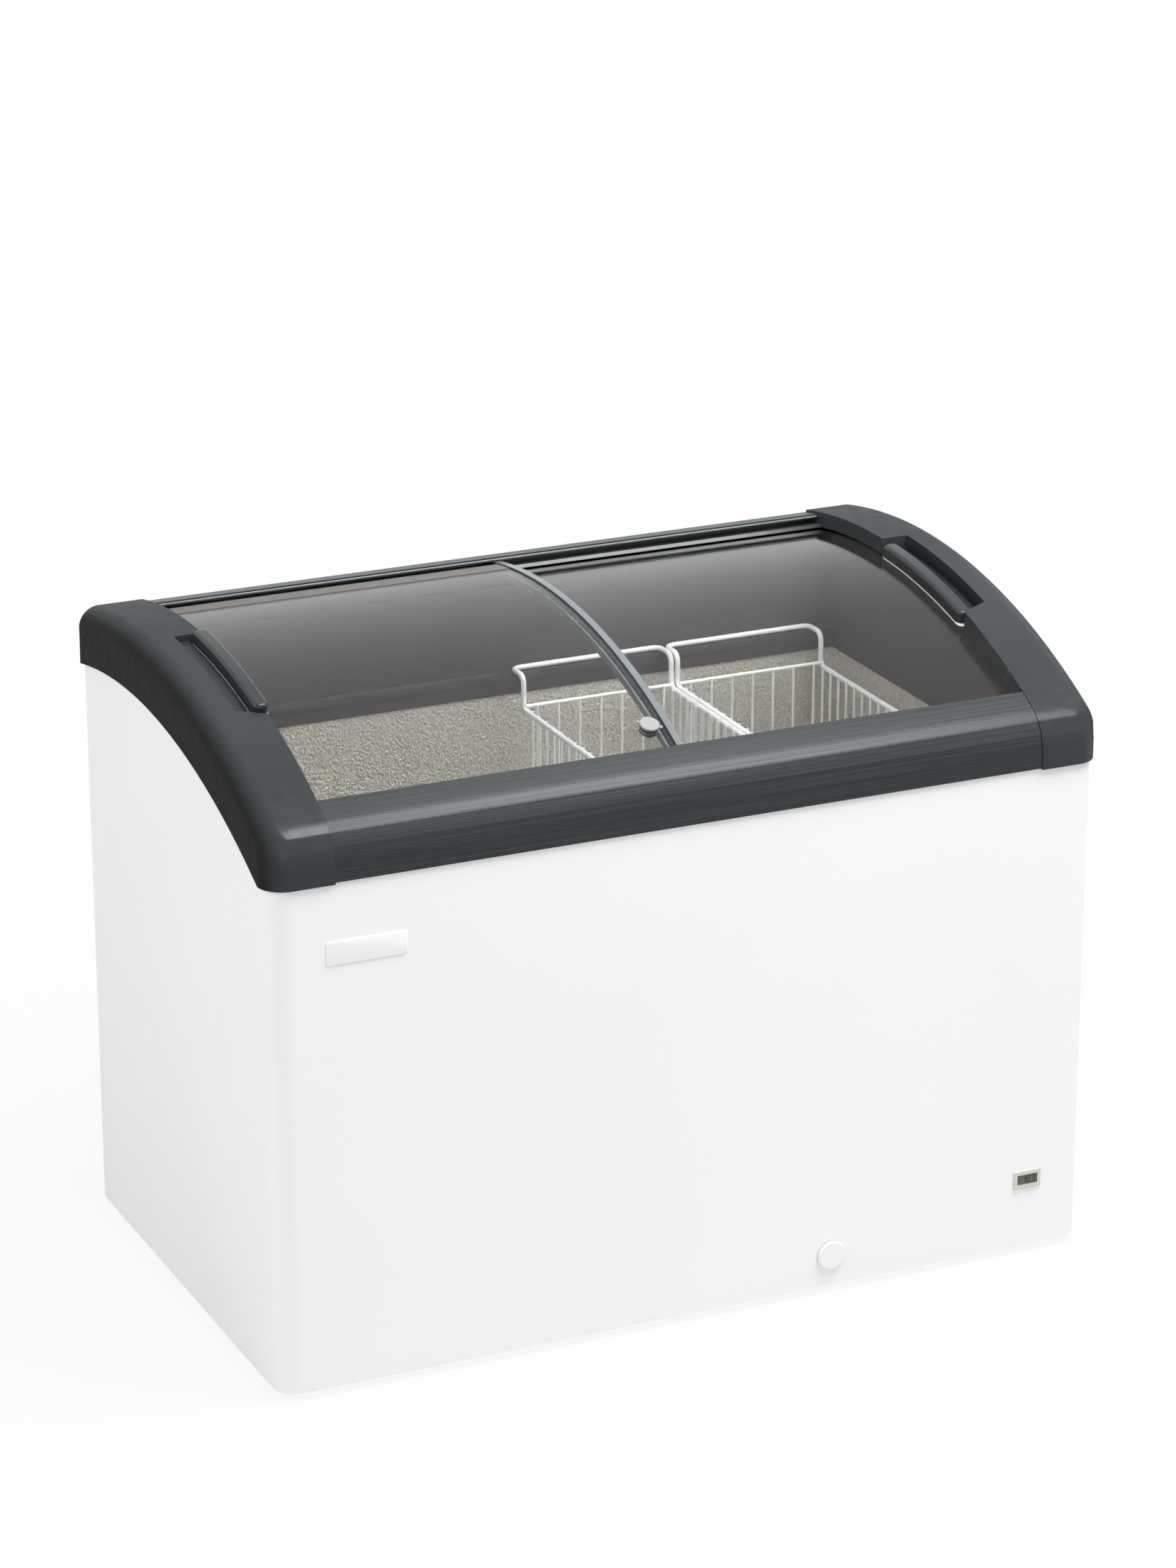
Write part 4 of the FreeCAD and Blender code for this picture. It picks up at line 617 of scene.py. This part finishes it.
def gauge_digits():
    """Dark liquid-crystal digits on the display."""
    low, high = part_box("gauge_display")
    front = low.y - BAR_CLEAR
    middle_z = (low.z + high.z) / 2
    w = DIGIT_WIDTH / 2
    h = DIGIT_TALL / 4
    flat = {"a": (0, 2 * h), "g": (0, 0), "d": (0, -2 * h)}
    upright = {"f": (-w, h), "b": (w, h), "e": (-w, -h), "c": (w, -h)}
    work = bmesh.new()
    x = low.x + DIGIT_START
    for sign in READING:
        if sign == ".":
            dot = Vector((x - DOT_BACK, front, middle_z - DIGIT_TALL / 2))
            gauge_bar(work, dot, BAR_WIDTH, upright=False)
            x += DOT_ROOM
            continue
        for bar in BARS[sign]:
            stands = bar in upright
            dx, dz = upright[bar] if stands else flat[bar]
            length = 2 * h - BAR_GAP if stands else DIGIT_WIDTH - BAR_GAP
            gauge_bar(work, Vector((x + dx, front, middle_z + dz)), length, stands)
        x += DIGIT_WIDTH + DIGIT_GAP
    bmesh.ops.recalc_face_normals(work, faces=work.faces)
    finished("gauge_digits", as_mesh("gauge_digits", work), "cabinet", "rubber_black")


def bare_badge():
    """Blank pressed plate with rounded corners in the badge's place."""
    low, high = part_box("badge_plate")
    work = bmesh.new()
    face = upright_face(work, low, high, high.y)
    rounded(work, list(face.verts), BADGE_CORNER, segments=5, affect="VERTICES")
    drawn = drawn_out(work, work.faces, Vector((0, low.y - high.y, 0)))
    rim = [item for item in drawn if isinstance(item, bmesh.types.BMEdge)]
    rounded(work, rim, BADGE_EDGE, segments=3)
    piece = finished("badge_face", laid_mesh("badge_face", work), "cabinet", "badge_white")
    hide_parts("badge_plate")


def gauge_bezel():
    """Rounded frame round the gauge's window."""
    low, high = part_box("gauge_housing")
    rim_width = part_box("gauge_display")[0].x - low.x + BEZEL_OUT
    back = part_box("outer_shell")[0].y - BEZEL_CLEAR
    front = low.y - BEZEL_PROUD
    work = bmesh.new()
    face = upright_face(work, low, high, back, BEZEL_OUT)
    face.normal_update()
    bmesh.ops.inset_region(work, faces=[face], thickness=rim_width, use_boundary=True, use_even_offset=True)
    bmesh.ops.delete(work, geom=[face], context="FACES_ONLY")
    drawn_out(work, work.faces, Vector((0, front - back, 0)))
    uprights = []
    for edge in work.edges:
        start, end = edge.verts
        if abs(start.co.y - end.co.y) > MM and not low.x < start.co.x < high.x:
            uprights.append(edge)
    rounded(work, uprights, BEZEL_CORNER, segments=4)
    rim = []
    for edge in work.edges:
        in_front = all(abs(vert.co.y - front) < SAME_POINT for vert in edge.verts)
        if in_front and edge.calc_face_angle(0) > BEZEL_SHARP:
            rim.append(edge)
    rounded(work, rim, BEZEL_EDGE, segments=3)
    finished("gauge_bezel", laid_mesh("gauge_bezel", work), "cabinet", "gauge_grey")


def spaced(start, end, count):
    """Places spread evenly from start to end."""
    return [start + (end - start) * i / (count - 1) for i in range(count)]


def rivet(work, place, size):
    """Domed blind rivet on the rear side, with the dimple of its mandrel."""
    radius, height = size
    verts = [work.verts.new(place + Vector((r * radius, h * height, 0))) for r, h in RIVET_PROFILE]
    edges = [work.edges.new(pair) for pair in zip(verts, verts[1:])]
    bmesh.ops.spin(work, geom=verts + edges, cent=place, axis=(0, 1, 0), angle=math.radians(360),
                   steps=RIVET_STEPS, use_merge=True)


def rear_rivets():
    """Rivets that hold the rear sheet and the grille."""
    work = bmesh.new()
    low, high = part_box("back_panel")
    for x in (low.x + SIDE_ROW, high.x - SIDE_ROW):
        for z in spaced(SIDE_ROW_FOOT, high.z - SIDE_ROW_HEAD, SIDE_RIVETS):
            rivet(work, Vector((x, high.y, z)), SHEET_RIVET)
    for x in spaced(low.x + TOP_ROW_INSET, high.x - TOP_ROW_INSET, TOP_RIVETS):
        rivet(work, Vector((x, high.y, high.z - TOP_ROW)), SHEET_RIVET)
    low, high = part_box("rear_grille")
    for x in spaced(low.x + GRILLE_EDGE, high.x - GRILLE_EDGE, GRILLE_RIVETS):
        for z in (low.z + GRILLE_EDGE, high.z - GRILLE_EDGE):
            rivet(work, Vector((x, high.y, z)), GRILLE_RIVET)
    bmesh.ops.remove_doubles(work, verts=work.verts, dist=RIVET_MERGE)
    finished("rear_rivets", laid_mesh("rear_rivets", work), "cabinet", "zinc_sheet")


def canopy_angle(y, radius):
    """Turn about the canopy's axis, from upright, at depth y."""
    return math.asin((y - CANOPY_Y) / radius)


def canopy_height(y, radius):
    """Height of a circle about the canopy's axis at depth y."""
    return CANOPY_Z + math.sqrt(radius ** 2 - (y - CANOPY_Y) ** 2)


def bent_strip(name, slot, across, radii, along, ease, finish=None):
    """Strip of the upper lid bent about the canopy's axis, from its ranges in X, radius and Y."""
    start = canopy_angle(along[0], radii[1])
    end = canopy_angle(along[1], radii[1])
    work = bmesh.new()
    corners = [(across[0], radii[0]), (across[1], radii[0]), (across[1], radii[1]), (across[0], radii[1])]
    section = []
    for x, radius in corners:
        y = CANOPY_Y + radius * math.sin(start)
        z = CANOPY_Z + radius * math.cos(start)
        section.append(work.verts.new((x, y, z)))
    work.faces.new(section)
    rounded(work, section, ease, segments=3, affect="VERTICES")
    bmesh.ops.spin(work, geom=everything(work), cent=(0, CANOPY_Y, CANOPY_Z), axis=(1, 0, 0),
                   angle=start - end, steps=TRIM_STEPS)
    finished(name, laid_mesh(name, work), "left_lid", slot, finish)


def shifted(span, start):
    """A range counted from a start."""
    return start + span[0], start + span[1]


def lid_seals():
    """Black bead beside the upper lid's edge strip as a painted shadow line at its step, the lip below it
    and the pale band along its glass's rear.
    """
    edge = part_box("left_lid_edge_strip")[0].x
    # The black bead draws the dark line where the edge strip's step shades the glass: painted shadow.
    bent_strip("lid_shadow_bead", "rubber_black", shifted(BEAD_ACROSS, edge), shifted(BEAD_HEIGHT, GLASS_TOP),
               TRIM_RUN, BEAD_EASE)
    bent_strip("lid_lip", "edge_plastic", shifted(LIP_ACROSS, edge), shifted(LIP_HEIGHT, GLASS_UNDER),
               TRIM_RUN, LIP_EASE)
    bent_strip("lid_rear_band", "edge_plastic", (BAND_LEFT, edge - BAND_CLEAR),
               shifted(BAND_HEIGHT, GLASS_TOP), BAND_RUN, BAND_EASE, "rear_band")


def rear_lip_highlight_bead():
    """Round bead along the front edge of the rear rail's lip, in the paler edge grey as a painted highlight
    on that edge.
    """
    low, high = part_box("rear_rail")
    start = Vector((low.x + RAIL_BEAD_ROOM, RAIL_BEAD_Y, canopy_height(RAIL_BEAD_Y, RAIL_BEAD_OUT)))
    work = bmesh.new()
    end = bmesh.ops.create_circle(work, cap_ends=True, segments=14, radius=RAIL_BEAD_RADIUS)
    stand = Matrix.Translation(start) @ Matrix.Rotation(math.radians(90), 4, "Y")
    bmesh.ops.transform(work, matrix=stand, verts=end["verts"])
    drawn_out(work, work.faces, Vector((high.x - low.x - 2 * RAIL_BEAD_ROOM, 0, 0)))
    # The paler grey stands in for the highlight the lip's rounded edge catches: painted highlight.
    finished("rear_lip_highlight_bead", laid_mesh("rear_lip_highlight_bead", work), "cabinet", "edge_plastic")


def skin_depth(point, side, front, top, front_ease, side_ease):
    """How deep a point lies under the rounded outside of a cap or rail, and which way is in."""
    spoke = Vector((0, point.y - CANOPY_Y, point.z - CANOPY_Z))
    below = top - spoke.length
    wall = point.y - front
    inward = Vector((0, 1, 0))
    if side is not None:
        across = abs(side) - abs(point.x)
        sideways = Vector((-math.copysign(1, side), 0, 0))
        u = 1 - across / CAP_CORNER
        v = 1 - wall / CAP_CORNER
        if u > 0 and v > 0:
            wall = CAP_CORNER * (1 - math.hypot(u, v))
            inward = (sideways * u + inward * v).normalized()
        elif across < wall:
            wall = across
            inward = sideways
    ease = front_ease + (side_ease - front_ease) * abs(inward.x)
    q = 1 - wall / ease
    w = 1 - below / ease
    down = -spoke.normalized()
    if q > 0 and w > 0:
        return ease * (1 - math.hypot(q, w)), (inward * q + down * w).normalized()
    if wall < below:
        return wall, inward
    return below, down


def eased(point, skin):
    """Where a point of the outer or inner skin goes when the solid's rounding becomes the wider one."""
    depth = skin_depth(point, *skin, SOLID_FRONT, SOLID_SIDE)[0]
    if depth > SKIN:
        return point
    wanted = 0 if depth < OUTER_SKIN else INNER_SKIN
    for _ in range(SKIN_STEPS):
        depth, inward = skin_depth(point, *skin, SHOWN_FRONT, SHOWN_SIDE)
        if depth < wanted:
            point = point - inward * (depth - wanted)
    return point


def shade_skin(mesh, skin):
    """Normals of the rounded outside on the skin, and smooth by angle elsewhere."""
    around = [[] for _ in mesh.vertices]
    for polygon in mesh.polygons:
        polygon.use_smooth = True
        for index in polygon.vertices:
            around[index].append(polygon)
    normals = []
    for polygon in mesh.polygons:
        facing = polygon.normal
        for index in polygon.vertices:
            depth, inward = skin_depth(mesh.vertices[index].co, *skin, SHOWN_FRONT, SHOWN_SIDE)
            if abs(depth) < ON_SKIN and facing.dot(inward) < -SQUARE_ON:
                normals.append(-inward)
                continue
            near = [other for other in around[index] if other.normal.dot(facing) > SMOOTHED]
            normals.append(sum((other.normal * other.area for other in near), Vector()).normalized())
    mesh.normals_split_custom_set(normals)


def widened(node, slot, top, side=None):
    """Copy of a cap or rail whose outer edges are rounded wider than the solid's."""
    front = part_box(node)[0].y
    skin = (side, front, top)
    work = bmesh.new()
    work.from_mesh(nodes[node].data)
    bmesh.ops.remove_doubles(work, verts=work.verts, dist=SAME_POINT)
    cuts = [(Vector((0, front + SHOWN_FRONT, 0)), Vector((0, 1, 0))),
            (Vector((0, 0, canopy_height(front, top) - FRONT_CUT)), Vector((0, 0, 1)))]
    if side is not None:
        cuts.append((Vector((side - math.copysign(SHOWN_SIDE, side), 0, 0)), Vector((1, 0, 0))))
        flank = []
        for face in work.faces:
            if abs(face.normal.x) > FLAT_FLANK and abs(face.calc_center_median().x - side) < ON_FLANK:
                flank.append(face)
        bmesh.ops.inset_region(work, faces=flank, thickness=SHOWN_SIDE - SOLID_SIDE, use_boundary=True,
                               use_even_offset=True)
    for place, way in cuts:
        bmesh.ops.bisect_plane(work, geom=everything(work), dist=CUT_SNAP, plane_co=place, plane_no=way)
    for vert in work.verts:
        vert.co = eased(vert.co.copy(), skin)
    mesh = as_mesh(node + "_shown", work)
    shade_skin(mesh, skin)
    piece = finished(node + "_shown", mesh, "cabinet", slot)
    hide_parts(node)


def wide_edges():
    """The caps and the front rail with the soft edges of the real mouldings."""
    widened("left_end_cap", "slate_plastic", CAP_TOP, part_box("left_end_cap")[0].x)
    widened("right_end_cap", "slate_plastic", CAP_TOP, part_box("right_end_cap")[1].x)
    widened("front_rail", "slate_rail", RAIL_TOP)


def aimed(name, data, place, way):
    """A lamp or camera put in its place and turned to look along a way."""
    holder = bpy.data.objects.new(name, data)
    holder.location = place
    holder.rotation_mode = "QUATERNION"
    holder.rotation_quaternion = way.to_track_quat("-Z", "Y")
    bpy.context.scene.collection.objects.link(holder)
    return holder


def area_light(name, place, target, size, power):
    """Round soft lamp."""
    lamp = bpy.data.lights.new(name, "AREA")
    lamp.shape = "DISK"
    lamp.size = size
    lamp.energy = power
    aimed(name, lamp, place, Vector(target) - Vector(place))


def seen_ray(tree):
    """One for rays from the camera and for those seen in gloss or glass."""
    path = tree.nodes.new("ShaderNodeLightPath")
    seen = combine(tree, "MAXIMUM", path.outputs["Is Camera Ray"], path.outputs["Is Glossy Ray"])
    return combine(tree, "MAXIMUM", seen, path.outputs["Is Transmission Ray"])


def mixed(tree, amount, first, second):
    """Two shaders mixed by an amount."""
    mix = tree.nodes.new("ShaderNodeMixShader")
    tree.links.new(amount, mix.inputs["Fac"])
    tree.links.new(first, mix.inputs[1])
    tree.links.new(second, mix.inputs[2])
    return mix.outputs["Shader"]


def white_world():
    """White surroundings that light the object softly."""
    world = bpy.data.worlds.new("studio")
    bpy.context.scene.world = world
    world.use_nodes = True
    tree = world.node_tree
    soft = tree.nodes["Background"]
    soft.inputs["Color"].default_value = WHITE
    soft.inputs["Strength"].default_value = ROOM_LIGHT
    white = new_node(tree, "ShaderNodeBackground", {"Color": WHITE, "Strength": 1.0})
    seen = mixed(tree, seen_ray(tree), soft.outputs["Background"], white.outputs["Background"])
    tree.links.new(seen, tree.nodes["World Output"].inputs["Surface"])


def pale_floor():
    """Matt floor that keeps a faint shadow near the object and fades to white further out."""
    work = bmesh.new()
    bmesh.ops.create_grid(work, x_segments=2, y_segments=2, size=FLOOR_SIZE)
    mesh = as_mesh("floor", work)
    floor = bpy.data.objects.new("floor", mesh)
    bpy.context.scene.collection.objects.link(floor)
    pale = bpy.data.materials.new("pale_floor")
    pale.use_nodes = True
    tree = pale.node_tree
    matt = tree.nodes["Principled BSDF"]
    matt.inputs["Base Color"].default_value = FLOOR_GREY
    matt.inputs["Roughness"].default_value = FLOOR_ROUGHNESS
    glow = new_node(tree, "ShaderNodeEmission", {"Strength": 1.0})
    where = tree.nodes.new("ShaderNodeTexCoord")
    away = tree.nodes.new("ShaderNodeVectorMath")
    away.operation = "LENGTH"
    tree.links.new(where.outputs["Object"], away.inputs[0])
    limits = {"From Min": SHADOW_START, "From Max": SHADOW_END, "To Min": FLOOR_GLOW, "To Max": 1.0}
    fade = new_node(tree, "ShaderNodeMapRange", limits)
    tree.links.new(away.outputs["Value"], fade.inputs["Value"])
    white = combine(tree, "MULTIPLY", seen_ray(tree), fade.outputs["Result"])
    shown = mixed(tree, white, matt.outputs["BSDF"], glow.outputs["Emission"])
    tree.links.new(shown, tree.nodes["Material Output"].inputs["Surface"])
    mesh.materials.append(pale)


def studio():
    """Soft light from the front, above and the left."""
    white_world()
    pale_floor()
    for name, lamp in LAMPS.items():
        area_light(name, *lamp)


def photo_camera():
    """Camera at the photograph's viewing angle."""
    camera = bpy.data.cameras.new("camera")
    camera.lens = CAMERA_LENS
    camera.sensor_width = CAMERA_SENSOR
    turn = math.radians(CAMERA_AZIMUTH)
    rise = math.radians(CAMERA_PITCH)
    back = Vector((math.sin(turn) * math.cos(rise), -math.cos(turn) * math.cos(rise), math.sin(rise)))
    bpy.context.scene.camera = aimed("camera", camera, CAMERA_TARGET + back * CAMERA_DISTANCE, -back)


wire_basket("left_basket", "left_wire_basket")
wire_basket("right_basket", "right_wire_basket")
gauge_digits()
bare_badge()
gauge_bezel()
rear_rivets()
lid_seals()
rear_lip_highlight_bead()
wide_edges()
studio()
photo_camera()
bpy.context.scene.view_settings.view_transform = "Standard"
